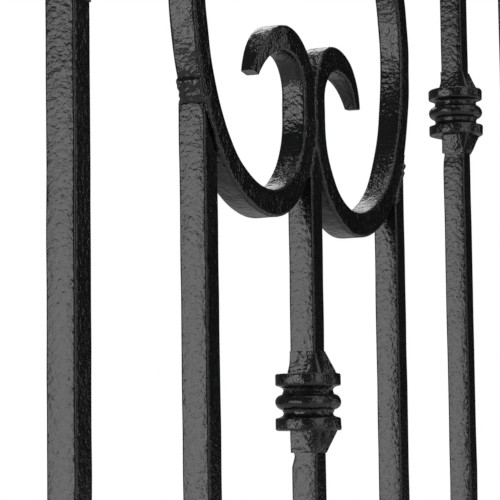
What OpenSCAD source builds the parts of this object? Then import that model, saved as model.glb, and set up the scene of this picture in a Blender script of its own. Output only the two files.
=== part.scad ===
// Bow-top garden gate of square bar, with a heart of two scrolls, hung between two posts.
// X runs across the opening from the hanging post's face, Y from the street side to the
// garden side, Z up. The origin is the centre of the lower hinge plate's bolt pattern.

/* [Leaf] */
// Width of the leaf over both stiles
leaf_w = 900; // [700:10:1200]
// Height of the stiles, without their finials
leaf_h = 1040; // [860:10:1300]
// Side of the square infill bars
bar = 12; // [10:0.1:16]
// Side of the square stiles
stile = 25; // [20:0.1:32]
// Thickness of the flat bottom and top rails
rail_t = 10; // [6:0.1:14]
// Height of the bottom rail's underside above the stiles' feet
rail_foot = 50; // [20:1:150]
// Rise of the bow top from its ends to its crown
bow_rise = 150; // [100:1:220]
// Depth of the bow's ends below the tops of the stiles
bow_drop = 40; // [30:1:80]
// Clearance around a bar in its punched hole
punch_gap = 0.1; // [0.05:0.05:0.5]

/* [Heart] */
// Distance from the bow's underside at the crown down to the heart's point
heart_drop = 217; // [150:1:320]
// How far the heart's shoulders stand out past the bars beside it
shoulder = 12; // [8:0.25:16]
// Thickness of the scroll bar in the plane of the gate
scroll_t = 12; // [8:0.1:14]
// Depth of the scroll bar, front to back
scroll_d = 12; // [8:0.1:14]
// Proportion of the bend that leads to the heart's point
bend_point = 220; // [200:1:260]
// Proportion of the bend at the shoulder
bend_shoulder = 120; // [110:1:130]
// Proportion of the bend under the shoulder
bend_heel = 69.5; // [64:0.5:75]
// Proportion of the bend that rises between the two scrolls
bend_toe = 50; // [45:1:55]
// Proportion of the bend of the curl
bend_curl = 28; // [25:1:32]
// Turn of the heel bend
heel_turn = 61; // [55:1:65]
// Turn of the shoulder bend above its widest place
shoulder_turn = 20; // [15:1:25]
// Turn of the curl
curl_turn = 175; // [150:1:178]
// Length of the curl that is drawn down to the tip, as a turn
draw_turn = 70; // [50:1:100]
// Thickness of the drawn tip
tip_t = 6; // [3:0.1:8]
// Width left at the top of the middle bar, where it ends between the scrolls
vee_w = 4; // [2:0.1:6]

/* [Knuckles] */
// Diameter of the knuckle's rings
knuckle_d = 29.4; // [27:0.1:36]
// Diameter of the grooves between the rings
groove_d = 22.4; // [20.5:0.1:25]
// Height of the knuckle's three rings together
knuckle_h = 25.4; // [22:0.1:34]
// Height of each end ring
ring_h = 5.6; // [4:0.1:6.5]
// Height of the four fins above and below the rings
fin_h = 10; // [6:0.1:14]
// Thickness of a fin
fin_t = 3; // [2:0.1:4]
// Distance of the middle knuckle's centre below the bottom of the heart
knuckle_low = 78.5; // [60:0.5:120]
// Distance of the side knuckles' centres above the bottom of the heart
knuckle_high = 83.5; // [60:0.5:120]

/* [Finials] */
// Diameter of the ball on each stile
ball_d = 34; // [28:0.1:44]
// Thickness of the collar under the ball
collar_t = 6; // [4:0.1:10]
// Length of the neck between collar and ball
neck_h = 8; // [5:0.1:14]
// Diameter of the neck
neck_d = 15; // [10:0.1:20]

/* [Hinges] */
// Gap between the hanging post and the leaf
hinge_gap = 60; // [55:1:80]
// Height of the lower hinge plate's centre above the stiles' feet
hinge_rise = 110; // [80:1:250]
// Depth of the upper hinge plate's centre below the tops of the stiles
hinge_drop = 130; // [100:1:250]
// Distance from the post's face to the hinge pin's axis
pin_back = 28; // [26:1:34]
// Diameter of the hinge pin
pin_d = 16; // [12:0.1:20]
// Radial running clearance between the pin and the eye
pin_run = 0.05; // [0.02:0.01:0.1]
// Wall of the eye around the pin
eye_wall = 7; // [5:0.1:9]
// Height of the eye
eye_h = 25; // [18:0.5:34]
// Length of pin left standing past the eye
pin_over = 12; // [6:1:20]
// Diameter of the eye bolt's threaded shank
shank_d = 12; // [10:0.1:14]
// Play of the shank in its hole through the stile, on the diameter
shank_play = 1; // [0.5:0.1:2]
// Thickness of the hinge plates
plate_t = 8; // [6:0.1:10]
// Width of the hinge plates
plate_w = 60; // [56:1:80]
// Height of the hinge plates
plate_h = 90; // [84:1:130]
// Distance between the hinge plates' holes, across
plate_hole_w = 40; // [36:1:56]
// Distance between the hinge plates' holes, up and down
plate_hole_h = 66; // [60:1:100]
// Diameter of the fixing holes in the hinge plates and the keep
fix_d = 9; // [7:0.1:11]
// Thickness of the arm that holds the pin
arm_t = 12; // [8:0.1:16]
// Thickness of the thrust washer under the lower eye
thrust_t = 2; // [1.5:0.1:4]
// Gap between the faces that turn against each other at the hinge
face_gap = 0.2; // [0.1:0.05:0.4]

/* [Latch] */
// Gap between the leaf and the latch post
latch_gap = 40; // [36:1:60]
// Depth of the latch bolt below the tops of the stiles
latch_drop = 160; // [150:10:480]
// Diameter of the slide bolt
bolt_d = 16; // [12:0.1:20]
// Radial clearance of the bolt in its guides
guide_gap = 0.5; // [0.3:0.05:0.8]
// Radial clearance of the bolt in its socket on the post
socket_gap = 1.5; // [1:0.1:3]
// Wall of the socket and of the guides around the bolt
guide_wall = 6; // [4:0.1:8]
// Length of a guide along the bolt
guide_l = 16; // [12:0.5:20]
// Travel of the bolt
throw = 36; // [30:1:50]
// Distance of the drawn-back bolt's nose from the leaf's edge
nose_back = 4; // [2:0.5:6]
// Length of bolt left standing past the inner guide when it is shot
tail = 10; // [5:1:20]
// Diameter of the knob's stem
stem_d = 10; // [8:0.1:12]
// Length of the stem between the bolt and the knob
stem_l = 16; // [14:1:30]
// Diameter of the knob
knob_d = 28; // [22:0.1:34]
// Thickness of the latch's back plate
back_t = 5; // [4:0.1:8]
// Height of the latch's back plate
back_h = 46; // [40:1:60]
// Gap between the bolt and the back of the latch stile
bolt_air = 1.5; // [1:0.1:3]
// Thickness of the keep's plate
keep_t = 6; // [5:0.1:10]
// Width of the keep's plate
keep_w = 84; // [80:1:110]
// Height of the keep's plate
keep_h = 72; // [70:1:100]
// Distance between the keep's holes, across
keep_hole_w = 64; // [60:1:84]
// Distance between the keep's holes, up and down
keep_hole_h = 50; // [48:1:76]
// Length of the keep's socket
socket_l = 22; // [16:1:30]
// Thickness of the stop that the closed leaf rests against
stop_t = 6; // [5:0.1:10]
// Height of the stop
stop_h = 40; // [30:1:60]
// How far the stop reaches over the latch stile
stop_lap = 15; // [8:1:20]
// Gap between the closed leaf and the stop
stop_gap = 0.5; // [0.3:0.1:2]

/* [Hidden] */
$fn = 96;
BOW_FN = 480;
BARS = 7;
eps = 1;

// Places across the leaf
leaf_x = hinge_gap;
mid_x = leaf_x + leaf_w / 2;
opening = hinge_gap + leaf_w + latch_gap;
clear_gap = (leaf_w - 2 * stile - BARS * bar) / (BARS + 1);
pitch = clear_gap + bar;
function bar_x(i) = mid_x + (i - (BARS + 1) / 2) * pitch;

// Heights of the leaf
foot_z = -hinge_rise;
rail_z = foot_z + rail_foot;
top_z = foot_z + leaf_h;
crown_z = top_z - bow_drop + bow_rise;
half_chord = leaf_w / 2 - stile;
bow_r = (half_chord * half_chord + bow_rise * bow_rise) / (2 * bow_rise);
bow_z = crown_z - bow_r;
bow_end = asin(half_chord / bow_r);

// Bends of the scroll, in the gate's plane, from the bottom of the heart on its middle line
raw_half = bend_toe + bend_heel * sin(heel_turn) + bend_shoulder * (1 - sin(heel_turn));
bend_k = (pitch + bar / 2 + shoulder) / raw_half;
r_toe = bend_toe * bend_k;
r_heel = bend_heel * bend_k;
r_shoulder = bend_shoulder * bend_k;
r_point = bend_point * bend_k;
r_curl = bend_curl * bend_k;
toe_c = [r_toe, r_toe];
heel_c = [r_toe, r_heel];
shoulder_c = heel_c + (r_heel - r_shoulder) * [sin(heel_turn), -cos(heel_turn)];
point_c = shoulder_c + (r_shoulder - r_point) * [cos(shoulder_turn), sin(shoulder_turn)];
point_turn = acos(-point_c.x / r_point);
heart_h = point_c.y + r_point * sin(point_turn);
curl_c = [r_curl, r_toe + r_curl / 3];
heart_z = crown_z - heart_drop - heart_h;
front_y = -bar / 2;

// Hinge
hinge_span = leaf_h - hinge_rise - hinge_drop;
eye_r = pin_d / 2 + pin_run + eye_wall;
eye_lift = arm_t / 2 + thrust_t + 2 * face_gap + eye_h / 2;
pin_l = arm_t / 2 + eye_lift + eye_h / 2 + pin_over;
nut_w = 1.6 * shank_d;
nut_t = 0.9 * shank_d;
washer_d = 2 * shank_d;
washer_t = 2.5;
shank_end = leaf_x + stile + washer_t + nut_t + 5;

// Latch
latch_z = top_z - latch_drop;
bolt_y = stile / 2 + bolt_air + bolt_d / 2;
back_x = bar_x(BARS) - bar / 2 - 2;
guide_r = bolt_d / 2 + guide_gap + guide_wall;
guide_1 = back_x + 2 + guide_l / 2;
knob_x = guide_1 + guide_l / 2 + guide_gap + stem_d / 2;
guide_2 = knob_x + throw + stem_d / 2 + guide_gap + guide_l / 2;
guide_3 = leaf_x + leaf_w - stile / 2;
nose_x = leaf_x + leaf_w - nose_back;
tail_x = guide_1 - guide_l / 2 - tail - throw;
knob_y = bolt_y + bolt_d / 2 + stem_l + knob_d / 2 - 2;
keep_y = (bolt_y - stile / 2 - stop_gap - stop_t) / 2;
socket_r = bolt_d / 2 + socket_gap;

black = "#26282a";
dark = "#1d1f20";

// A cylinder along Y whose axis passes through a place given in the gate's plane
module disc(place, r, depth = 60) {
    translate([place.x, depth / 2, place.y]) rotate([90, 0, 0]) cylinder(r = r, h = depth);
}

// A box given by its lowest and highest corners
module block(low, high) {
    translate(low) cube(high - low);
}

// Moves what is drawn about the heart's bottom to its place on the leaf
module at_heart() {
    translate([mid_x, 0, heart_z]) children();
}

// Points of a bend between two angles, after its first
function bend(centre, r, from, to, steps) =
    [for (i = [1 : steps]) let (a = from + (to - from) * i / steps)
        centre + r * [cos(a), sin(a)]];

// Thickness of the bar at a turn of the curl, which thins towards the tip
function drawn(turn) = max(0, (turn - (curl_turn - draw_turn)) / draw_turn);
function curl_t(turn) = scroll_t + (tip_t - scroll_t) * drawn(turn);
function curl_at(turn, depth) =
    curl_c + (r_curl - depth) * [cos(180 - turn), sin(180 - turn)];

// Angle at which the point's bend meets the middle line, at a depth inside its outer edge
function point_end(depth) = acos(-point_c.x / (r_point - depth));

// One edge of the right-hand scroll, from the heart's point to the tip of the curl
function scroll_edge(inside) = let (
    t = inside * scroll_t,
    top = point_end(t),
    curl_steps = 34
) concat(
    [point_c + (r_point - t) * [cos(top), sin(top)]],
    bend(point_c, r_point - t, top, shoulder_turn, 10),
    bend(shoulder_c, r_shoulder - t, shoulder_turn, heel_turn - 90, 14),
    bend(heel_c, r_heel - t, heel_turn - 90, -90, 12),
    bend(toe_c, r_toe - t, 270, 180, 20),
    [for (i = [0 : curl_steps]) let (turn = curl_turn * i / curl_steps)
        curl_at(turn, inside * curl_t(turn))]
);

// The right-hand scroll, about the bottom of the heart, flush with the front of the bars
module scroll() {
    inner = scroll_edge(1);
    translate([0, front_y + scroll_d, 0]) rotate([90, 0, 0]) linear_extrude(scroll_d)
        polygon(concat(scroll_edge(0), [for (i = [len(inner) - 1 : -1 : 0]) inner[i]]));
}

module heart_scroll(side) {
    color(black) at_heart() mirror([side < 0 ? 1 : 0, 0, 0]) scroll();
}

// A bar standing at x between two heights
module stick(x, low, high) {
    block([x - bar / 2, -bar / 2, low], [x + bar / 2, bar / 2, high]);
}

// Cuts what is drawn to the underside of the bow
module under_bow() {
    intersection() {
        children();
        disc([mid_x, bow_z], bow_r, $fn = BOW_FN);
    }
}

module full_bar(i) {
    color(black) under_bow() stick(bar_x(i), rail_z, crown_z);
}

// The bars beside the middle stop against the outside of the scrolls
module lower_side_bar(side) {
    color(black) difference() {
        stick(mid_x + side * pitch, rail_z, heart_z + shoulder_c.y);
        at_heart() disc([side * shoulder_c.x, shoulder_c.y], r_shoulder);
    }
}

module upper_side_bar(side) {
    color(black) under_bow() difference() {
        stick(mid_x + side * pitch, heart_z + point_c.y, crown_z);
        at_heart() disc([side * point_c.x, point_c.y], r_point);
    }
}

// The middle bar ends in a vee between the scrolls
module lower_middle_bar() {
    vee_drop = sqrt(r_toe * r_toe - (r_toe - vee_w / 2) * (r_toe - vee_w / 2));
    color(black) difference() {
        stick(mid_x, rail_z, heart_z + toe_c.y - vee_drop);
        at_heart() {
            disc(toe_c, r_toe);
            disc([-toe_c.x, toe_c.y], r_toe);
        }
    }
}

// The upper middle bar stands on the heart's point
module upper_middle_bar() {
    color(black) under_bow() difference() {
        stick(mid_x, heart_z + heart_h - bar, crown_z);
        at_heart() intersection() {
            disc(point_c, r_point);
            disc([-point_c.x, point_c.y], r_point);
        }
    }
}

module hanging_stile() {
    color(black) difference() {
        block([leaf_x, -stile / 2, foot_z], [leaf_x + stile, stile / 2, top_z]);
        for (z = [eye_lift, hinge_span - eye_lift])
            translate([leaf_x - eps, 0, z]) rotate([0, 90, 0])
                cylinder(d = shank_d + shank_play, h = stile + 2 * eps);
    }
}

module latch_stile() {
    right = leaf_x + leaf_w;
    color(black) block([right - stile, -stile / 2, foot_z], [right, stile / 2, top_z]);
}

module bottom_rail() {
    color(black) difference() {
        block([leaf_x + stile, -stile / 2, rail_z],
              [leaf_x + leaf_w - stile, stile / 2, rail_z + rail_t]);
        for (i = [1 : BARS])
            block([bar_x(i) - bar / 2 - punch_gap, -bar / 2 - punch_gap, rail_z - eps],
                  [bar_x(i) + bar / 2 + punch_gap, bar / 2 + punch_gap, rail_z + rail_t + eps]);
    }
}

module top_rail() {
    sweep = 2 * bow_end + 4;
    color(black) intersection() {
        translate([mid_x, 0, bow_z]) rotate([90, 0, 0]) rotate([0, 0, 90 - sweep / 2])
            rotate_extrude(angle = sweep, $fn = BOW_FN)
                translate([bow_r, -stile / 2]) square([rail_t, stile]);
        block([leaf_x + stile, -stile, foot_z], [leaf_x + leaf_w - stile, stile, crown_z + stile]);
    }
}

// Rings of the knuckle as one turned outline, half in width
function rings() = let (
    r = knuckle_d / 2,
    g = groove_d / 2,
    h = knuckle_h / 2,
    e = 1.2,
    inner = h - ring_h,
    bead = inner - 2.2
) [
    [0, -h], [r - e, -h], [r, -h + e], [r, -inner - e], [r - e, -inner], [g, -inner],
    [g, -bead], [r - e, -bead + e], [r, -e], [r, e], [r - e, bead - e], [g, bead],
    [g, inner], [r - e, inner], [r, inner + e], [r, h - e], [r - e, h], [0, h]
];

module fin() {
    reach = knuckle_d / 2 - 1.5;
    root = bar / 2;
    h = knuckle_h / 2;
    rotate([90, 0, 0]) translate([0, 0, -fin_t / 2])
        linear_extrude(fin_t)
            polygon([[root, h - eps], [reach, h - eps], [reach, h + 1],
                     [root * sqrt(2), h + fin_h], [root, h + fin_h]]);
}

module knuckle(x, z) {
    color(black) translate([x, 0, z]) difference() {
        union() {
            rotate_extrude() polygon(rings());
            for (a = [45 : 90 : 315])
                rotate([0, 0, a]) {
                    fin();
                    mirror([0, 0, 1]) fin();
                }
        }
        block([-bar / 2 - punch_gap, -bar / 2 - punch_gap, -knuckle_h / 2 - fin_h - eps],
              [bar / 2 + punch_gap, bar / 2 + punch_gap, knuckle_h / 2 + fin_h + eps]);
    }
}

module finial(x) {
    ball_z = collar_t + neck_h + ball_d / 2 - 1;
    color(black) translate([x, 0, top_z]) {
        cylinder(d = stile, h = collar_t);
        cylinder(d = neck_d, h = collar_t + neck_h + 2);
        translate([0, 0, ball_z]) sphere(d = ball_d);
    }
}

// Hinge plate with its arm, about the centre of its hole pattern
module hinge_plate() {
    difference() {
        union() {
            block([0, -plate_w / 2, -plate_h / 2], [plate_t, plate_w / 2, plate_h / 2]);
            block([plate_t - eps, -eye_r, -arm_t / 2], [pin_back, eye_r, arm_t / 2]);
            translate([pin_back, 0, -arm_t / 2]) cylinder(r = eye_r, h = arm_t);
        }
        for (y = [-1, 1] * plate_hole_w / 2, z = [-1, 1] * plate_hole_h / 2)
            translate([-eps, y, z]) rotate([0, 90, 0]) cylinder(d = fix_d, h = plate_t + 2 * eps);
        translate([pin_back, 0, -arm_t]) cylinder(r = pin_d / 2 + pin_run, h = 2 * arm_t);
    }
}

module hinge_pin() {
    chamfer = 1.5;
    translate([pin_back, 0, -arm_t / 2]) {
        cylinder(d = pin_d, h = pin_l - chamfer);
        translate([0, 0, pin_l - chamfer])
            cylinder(d1 = pin_d, d2 = pin_d - 2 * chamfer, h = chamfer);
    }
}

// The upper hinge is the lower one upside down, so that the leaf can't be lifted off
module upside_down() {
    translate([0, 0, hinge_span]) mirror([0, 0, 1]) children();
}

module thrust_washer() {
    color(dark) translate([pin_back, 0, arm_t / 2 + face_gap]) difference() {
        cylinder(r = eye_r, h = thrust_t);
        translate([0, 0, -eps]) cylinder(r = pin_d / 2 + 4 * pin_run, h = thrust_t + 2 * eps);
    }
}

module eye_bolt(z) {
    color(dark) translate([0, 0, z]) difference() {
        union() {
            translate([pin_back, 0, -eye_h / 2]) cylinder(r = eye_r, h = eye_h);
            translate([pin_back + pin_d / 2 + eye_wall / 2, 0, 0]) rotate([0, 90, 0])
                cylinder(d = shank_d, h = shank_end - pin_back - pin_d / 2 - eye_wall / 2);
        }
        translate([pin_back, 0, -eye_h]) cylinder(r = pin_d / 2 + pin_run, h = 2 * eye_h);
    }
}

// Draws its children on both sides of the hanging stile, at both hinges
module on_shanks(thickness, outset) {
    for (z = [eye_lift, hinge_span - eye_lift],
         x = [leaf_x - outset - thickness, leaf_x + stile + outset])
        translate([x, 0, z]) rotate([0, 90, 0]) difference() {
            children();
            translate([0, 0, -eps])
                cylinder(d = shank_d + 0.1, h = thickness + 2 * eps);
        }
}

module hinge_nuts() {
    color(dark) on_shanks(nut_t, washer_t)
        cylinder(d = nut_w / cos(30), h = nut_t, $fn = 6);
}

module hinge_washers() {
    color(dark) on_shanks(washer_t, 0) cylinder(d = washer_d, h = washer_t);
}

module latch_back_plate() {
    color(black) block([back_x, bar / 2, latch_z - back_h / 2],
                       [leaf_x + leaf_w - stile, bar / 2 + back_t, latch_z + back_h / 2]);
}

// A guide is a lug with a round head, standing on the face at y
module guide(x, y) {
    color(black) translate([x - guide_l / 2, 0, latch_z]) difference() {
        union() {
            block([0, y, -guide_r], [guide_l, bolt_y, guide_r]);
            translate([0, bolt_y, 0]) rotate([0, 90, 0]) cylinder(r = guide_r, h = guide_l);
        }
        block([-eps, y - 2 * guide_r, -2 * guide_r], [guide_l + eps, y, 2 * guide_r]);
        translate([-eps, bolt_y, 0]) rotate([0, 90, 0])
            cylinder(r = bolt_d / 2 + guide_gap, h = guide_l + 2 * eps);
    }
}

module slide_bolt() {
    chamfer = 2;
    color(dark) translate([tail_x, bolt_y, latch_z]) rotate([0, 90, 0]) {
        cylinder(d = bolt_d, h = nose_x - tail_x - chamfer);
        translate([0, 0, nose_x - tail_x - chamfer])
            cylinder(d1 = bolt_d, d2 = bolt_d - 2 * chamfer, h = chamfer);
    }
}

// The knob's stem is seated on a flat of the bolt's depth
module bolt_knob() {
    color(dark) translate([knob_x, 0, latch_z]) difference() {
        union() {
            translate([0, bolt_y + bolt_d / 4, 0]) rotate([-90, 0, 0])
                cylinder(d = stem_d, h = bolt_d / 4 + stem_l);
            translate([0, knob_y, 0]) sphere(d = knob_d);
        }
        translate([-knob_d, bolt_y, 0]) rotate([0, 90, 0]) cylinder(d = bolt_d, h = 2 * knob_d);
    }
}

module keep_plate() {
    color(black) difference() {
        block([opening - keep_t, keep_y - keep_w / 2, latch_z - keep_h / 2],
              [opening, keep_y + keep_w / 2, latch_z + keep_h / 2]);
        for (y = [-1, 1] * keep_hole_w / 2, z = [-1, 1] * keep_hole_h / 2)
            translate([opening - keep_t - eps, keep_y + y, latch_z + z]) rotate([0, 90, 0])
                cylinder(d = fix_d, h = keep_t + 2 * eps);
        translate([opening - keep_t - eps, bolt_y, latch_z]) rotate([0, 90, 0])
            cylinder(r = socket_r, h = keep_t + 2 * eps);
    }
}

module keep_socket() {
    color(black) translate([opening - keep_t - socket_l, bolt_y, latch_z]) rotate([0, 90, 0])
        difference() {
            cylinder(r = socket_r + guide_wall, h = socket_l);
            translate([0, 0, -eps]) cylinder(r = socket_r, h = socket_l + 2 * eps);
        }
}

module keep_stop() {
    back = -stile / 2 - stop_gap;
    color(black) block([leaf_x + leaf_w - stop_lap, back - stop_t, latch_z - stop_h / 2],
                       [opening - keep_t, back, latch_z + stop_h / 2]);
}

color(black) hinge_plate();  // lower_hinge_plate
color(dark) hinge_pin();  // lower_hinge_pin
color(black) upside_down() hinge_plate();  // upper_hinge_plate
color(dark) upside_down() hinge_pin();  // upper_hinge_pin
thrust_washer();  // hinge_thrust_washer
keep_plate();
keep_socket();
keep_stop();
hanging_stile();
latch_stile();
bottom_rail();
top_rail();
full_bar(1);  // bar_1
full_bar(2);  // bar_2
full_bar(6);  // bar_6
full_bar(7);  // bar_7
lower_side_bar(-1);  // lower_bar_3
lower_middle_bar();  // lower_bar_4
lower_side_bar(1);  // lower_bar_5
upper_side_bar(-1);  // upper_bar_3
upper_middle_bar();  // upper_bar_4
upper_side_bar(1);  // upper_bar_5
heart_scroll(-1);  // heart_scroll_left
heart_scroll(1);  // heart_scroll_right
knuckle(bar_x(2), heart_z + knuckle_high);  // knuckle_left
knuckle(mid_x, heart_z - knuckle_low);  // knuckle_centre
knuckle(bar_x(6), heart_z + knuckle_high);  // knuckle_right
finial(leaf_x + stile / 2);  // finial_hanging
finial(leaf_x + leaf_w - stile / 2);  // finial_latch
eye_bolt(eye_lift);  // lower_eye_bolt
eye_bolt(hinge_span - eye_lift);  // upper_eye_bolt
hinge_nuts();
hinge_washers();
latch_back_plate();
guide(guide_1, bar / 2 + back_t);  // latch_guide_inner
guide(guide_2, bar / 2 + back_t);  // latch_guide_middle
guide(guide_3, stile / 2);  // latch_guide_outer
slide_bolt();
bolt_knob();
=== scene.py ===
"""Looks of the bow-top garden gate: enamelled bars and scrolls, knuckles, hinges, latch, studio.

Each sub-assembly is a class that holds its sizes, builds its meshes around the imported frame
and dresses them. Lengths are in metres, in the frame's own axes.
"""

import logging
import math
from dataclasses import dataclass, field
from enum import Enum
from typing import Any, ClassVar, Iterable, Sequence

import bmesh
import bpy
from mathutils import Matrix, Vector, noise


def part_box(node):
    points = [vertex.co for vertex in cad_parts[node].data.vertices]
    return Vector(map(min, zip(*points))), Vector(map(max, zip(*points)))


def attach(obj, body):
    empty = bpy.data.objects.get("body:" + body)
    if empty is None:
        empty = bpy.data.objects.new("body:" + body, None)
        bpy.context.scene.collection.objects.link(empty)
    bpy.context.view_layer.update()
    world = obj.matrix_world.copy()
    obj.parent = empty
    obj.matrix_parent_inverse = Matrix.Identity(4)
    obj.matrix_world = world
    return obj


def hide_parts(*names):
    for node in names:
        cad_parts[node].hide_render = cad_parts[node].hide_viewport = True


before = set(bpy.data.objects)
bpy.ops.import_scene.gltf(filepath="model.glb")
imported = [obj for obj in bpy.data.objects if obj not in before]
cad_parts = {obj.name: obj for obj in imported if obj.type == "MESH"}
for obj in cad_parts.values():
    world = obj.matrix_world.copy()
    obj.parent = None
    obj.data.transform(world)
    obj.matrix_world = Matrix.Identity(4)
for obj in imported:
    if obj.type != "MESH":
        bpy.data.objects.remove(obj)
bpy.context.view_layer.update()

MM = 0.001
SAME_POINT = 1e-6
FLAT_ANGLE = math.radians(0.5)
CORNER_ANGLE = math.radians(60)
NOISE_SEED = 11
NOISE_RANGE = (0.3, 0.7)
WHITE = (1, 1, 1, 1)
log = logging.getLogger("garden_gate")


class Body(Enum):
    """The rigid bodies that pieces ride on."""

    POSTS = "post_fittings"
    LEAF = "leaf"
    BOLT = "latch_bolt"


class Slot(Enum):
    """The material slots, by name."""

    LEAF = "leaf_paint"
    SCROLL = "scroll_paint"
    POSTS = "post_fittings"
    KNOB = "knob_paint"
    ZINC = "zinc_hardware"


# ---------------------------------------------------------------------------- finishes


def linear(hex_colour: str) -> tuple[float, float, float, float]:
    """Turns an sRGB hex colour into linear red, green, blue and alpha.

    Args:
        hex_colour: Six hex digits, with a leading hash.

    Returns:
        The four linear values that a shader socket takes.
    """
    values = [int(hex_colour[i : i + 2], 16) / 255 for i in (1, 3, 5)]
    curve = [v / 12.92 if v <= 0.04045 else ((v + 0.055) / 1.055) ** 2.4 for v in values]
    return (curve[0], curve[1], curve[2], 1.0)


@dataclass(frozen=True)
class Shading:
    """A node tree in the making, with the nodes that the finishes and the world share."""

    tree: bpy.types.NodeTree

    def add(
        self, kind: str, settings: dict[str, Any] | None = None, links: dict[Any, Any] | None = None
    ) -> bpy.types.Node:
        """Adds a shader node with its settings and its links.

        Args:
            kind: The node's type name.
            settings: Values by attribute name, or by input name where the node has no such
                attribute.
            links: An output socket for each input, by the input's name or number.

        Returns:
            The new node.
        """
        node = self.tree.nodes.new(kind)
        for key, value in (settings or {}).items():
            if hasattr(node, key):
                setattr(node, key, value)
            else:
                node.inputs[key].default_value = value
        for key, source in (links or {}).items():
            self.tree.links.new(source, node.inputs[key])
        return node

    def place(self) -> bpy.types.NodeSocket:
        """Gives the Object coordinates."""
        return self.add("ShaderNodeTexCoord").outputs["Object"]

    def clouds(
        self, place: bpy.types.NodeSocket, size: float, detail: float = 2.0, roughness: float = 0.5
    ) -> bpy.types.NodeSocket:
        """Adds a noise texture with features of this size, and gives its value, 0 to 1."""
        settings = {"Scale": 1.0 / size, "Detail": detail, "Roughness": roughness}
        return self.add("ShaderNodeTexNoise", settings, {"Vector": place}).outputs["Fac"]

    def mapped(
        self,
        value: bpy.types.NodeSocket,
        before: tuple[float, float],
        after: tuple[float, float],
        smooth: bool = False,
    ) -> bpy.types.NodeSocket:
        """Maps one range of values onto another.

        Args:
            value: The value.
            before: Its range.
            after: What the ends of that range become.
            smooth: Whether the change eases in and out.

        Returns:
            The mapped value.
        """
        settings = {
            "From Min": before[0],
            "From Max": before[1],
            "To Min": after[0],
            "To Max": after[1],
            "interpolation_type": "SMOOTHSTEP" if smooth else "LINEAR",
        }
        return self.add("ShaderNodeMapRange", settings, {"Value": value}).outputs["Result"]

    def ramp(
        self, value: bpy.types.NodeSocket, stops: Sequence[tuple[float, str]]
    ) -> bpy.types.NodeSocket:
        """Colours a value.

        Args:
            value: The value.
            stops: Places from low to high, each with its hex colour.

        Returns:
            The colour.
        """
        node = self.add("ShaderNodeValToRGB", {}, {"Fac": value})
        elements = node.color_ramp.elements
        for number, (position, colour) in ((0, stops[0]), (1, stops[-1])):
            elements[number].position = position
            elements[number].color = linear(colour)
        for position, colour in stops[1:-1]:
            elements.new(position).color = linear(colour)
        return node.outputs["Color"]

    def bump(
        self,
        height: bpy.types.NodeSocket,
        distance: float,
        under: bpy.types.NodeSocket | None = None,
        inward: bool = False,
    ) -> bpy.types.NodeSocket:
        """Adds relief.

        Args:
            height: The relief, from 0 to 1.
            distance: Its full height.
            under: The relief that it lies on, as a normal.
            inward: Whether it goes into the surface.

        Returns:
            The normal.
        """
        links = {"Height": height} | ({"Normal": under} if under else {})
        settings = {"Strength": 1.0, "Distance": distance, "invert": inward}
        return self.add("ShaderNodeBump", settings, links).outputs["Normal"]

    def surface(self, settings: dict[str, float], links: dict[str, bpy.types.NodeSocket]) -> None:
        """Ends the tree of a material with its shader, which has these settings and links."""
        shader = self.add("ShaderNodeBsdfPrincipled", settings, links)
        self.add("ShaderNodeOutputMaterial", {}, {"Surface": shader.outputs["BSDF"]})


def new_material(name: str) -> tuple[bpy.types.Material, Shading]:
    """Makes an empty node material.

    Args:
        name: The finish's name.

    Returns:
        The material and its cleared node tree.
    """
    material = bpy.data.materials.new(name)
    material.use_nodes = True
    material.node_tree.nodes.clear()
    return material, Shading(material.node_tree)


@dataclass(frozen=True)
class Enamel:
    """Gloss black alkyd enamel, brushed over black steel.

    The eye gets a deep black with a soft sheen, an orange-peel skin from the brush and the
    mill scale under it, small pits where the scale has flaked, and a slightly paler, duller
    film where the coat is thin.
    """

    name: str
    colour: str = "#0b0c0d"
    thin_colour: str = "#151617"
    full_film: float = 0.35
    thin_film: float = 0.75
    film: float = 28.0 * MM
    roughness: float = 0.20
    roughness_spread: float = 0.10
    peel: float = 2.0 * MM
    peel_height: float = 0.30 * MM
    hammer: float = 9.0 * MM
    hammer_height: float = 0.34 * MM
    pit: float = 5.0 * MM
    pit_height: float = 0.12 * MM
    pit_share: float = 0.12
    ior: float = 1.5

    def material(self) -> bpy.types.Material:
        """Builds the enamel's node material.

        Returns:
            The material, reading Object coordinates.
        """
        material, tree = new_material(self.name)
        place = tree.place()
        peel = tree.clouds(place, self.peel, roughness=0.55)
        cells = tree.add(
            "ShaderNodeTexVoronoi",
            {"Scale": 1.0 / self.pit, "Randomness": 1.0},
            {"Vector": place},
        ).outputs["Distance"]
        pits = tree.mapped(cells, (0.0, self.pit_share), (1.0, 0.0))
        film = tree.clouds(place, self.film, detail=4.0, roughness=0.6)
        half = self.roughness_spread / 2
        hammered = tree.bump(tree.clouds(place, self.hammer), self.hammer_height)
        skin = tree.bump(peel, self.peel_height, hammered)
        stops = ((self.full_film, self.colour), (self.thin_film, self.thin_colour))
        tree.surface(
            {"Metallic": 0.0, "IOR": self.ior},
            {
                "Base Color": tree.ramp(film, stops),
                "Roughness": tree.mapped(
                    peel, NOISE_RANGE, (self.roughness - half, self.roughness + half)
                ),
                "Normal": tree.bump(pits, self.pit_height, skin, inward=True),
            },
        )
        return material


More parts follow.
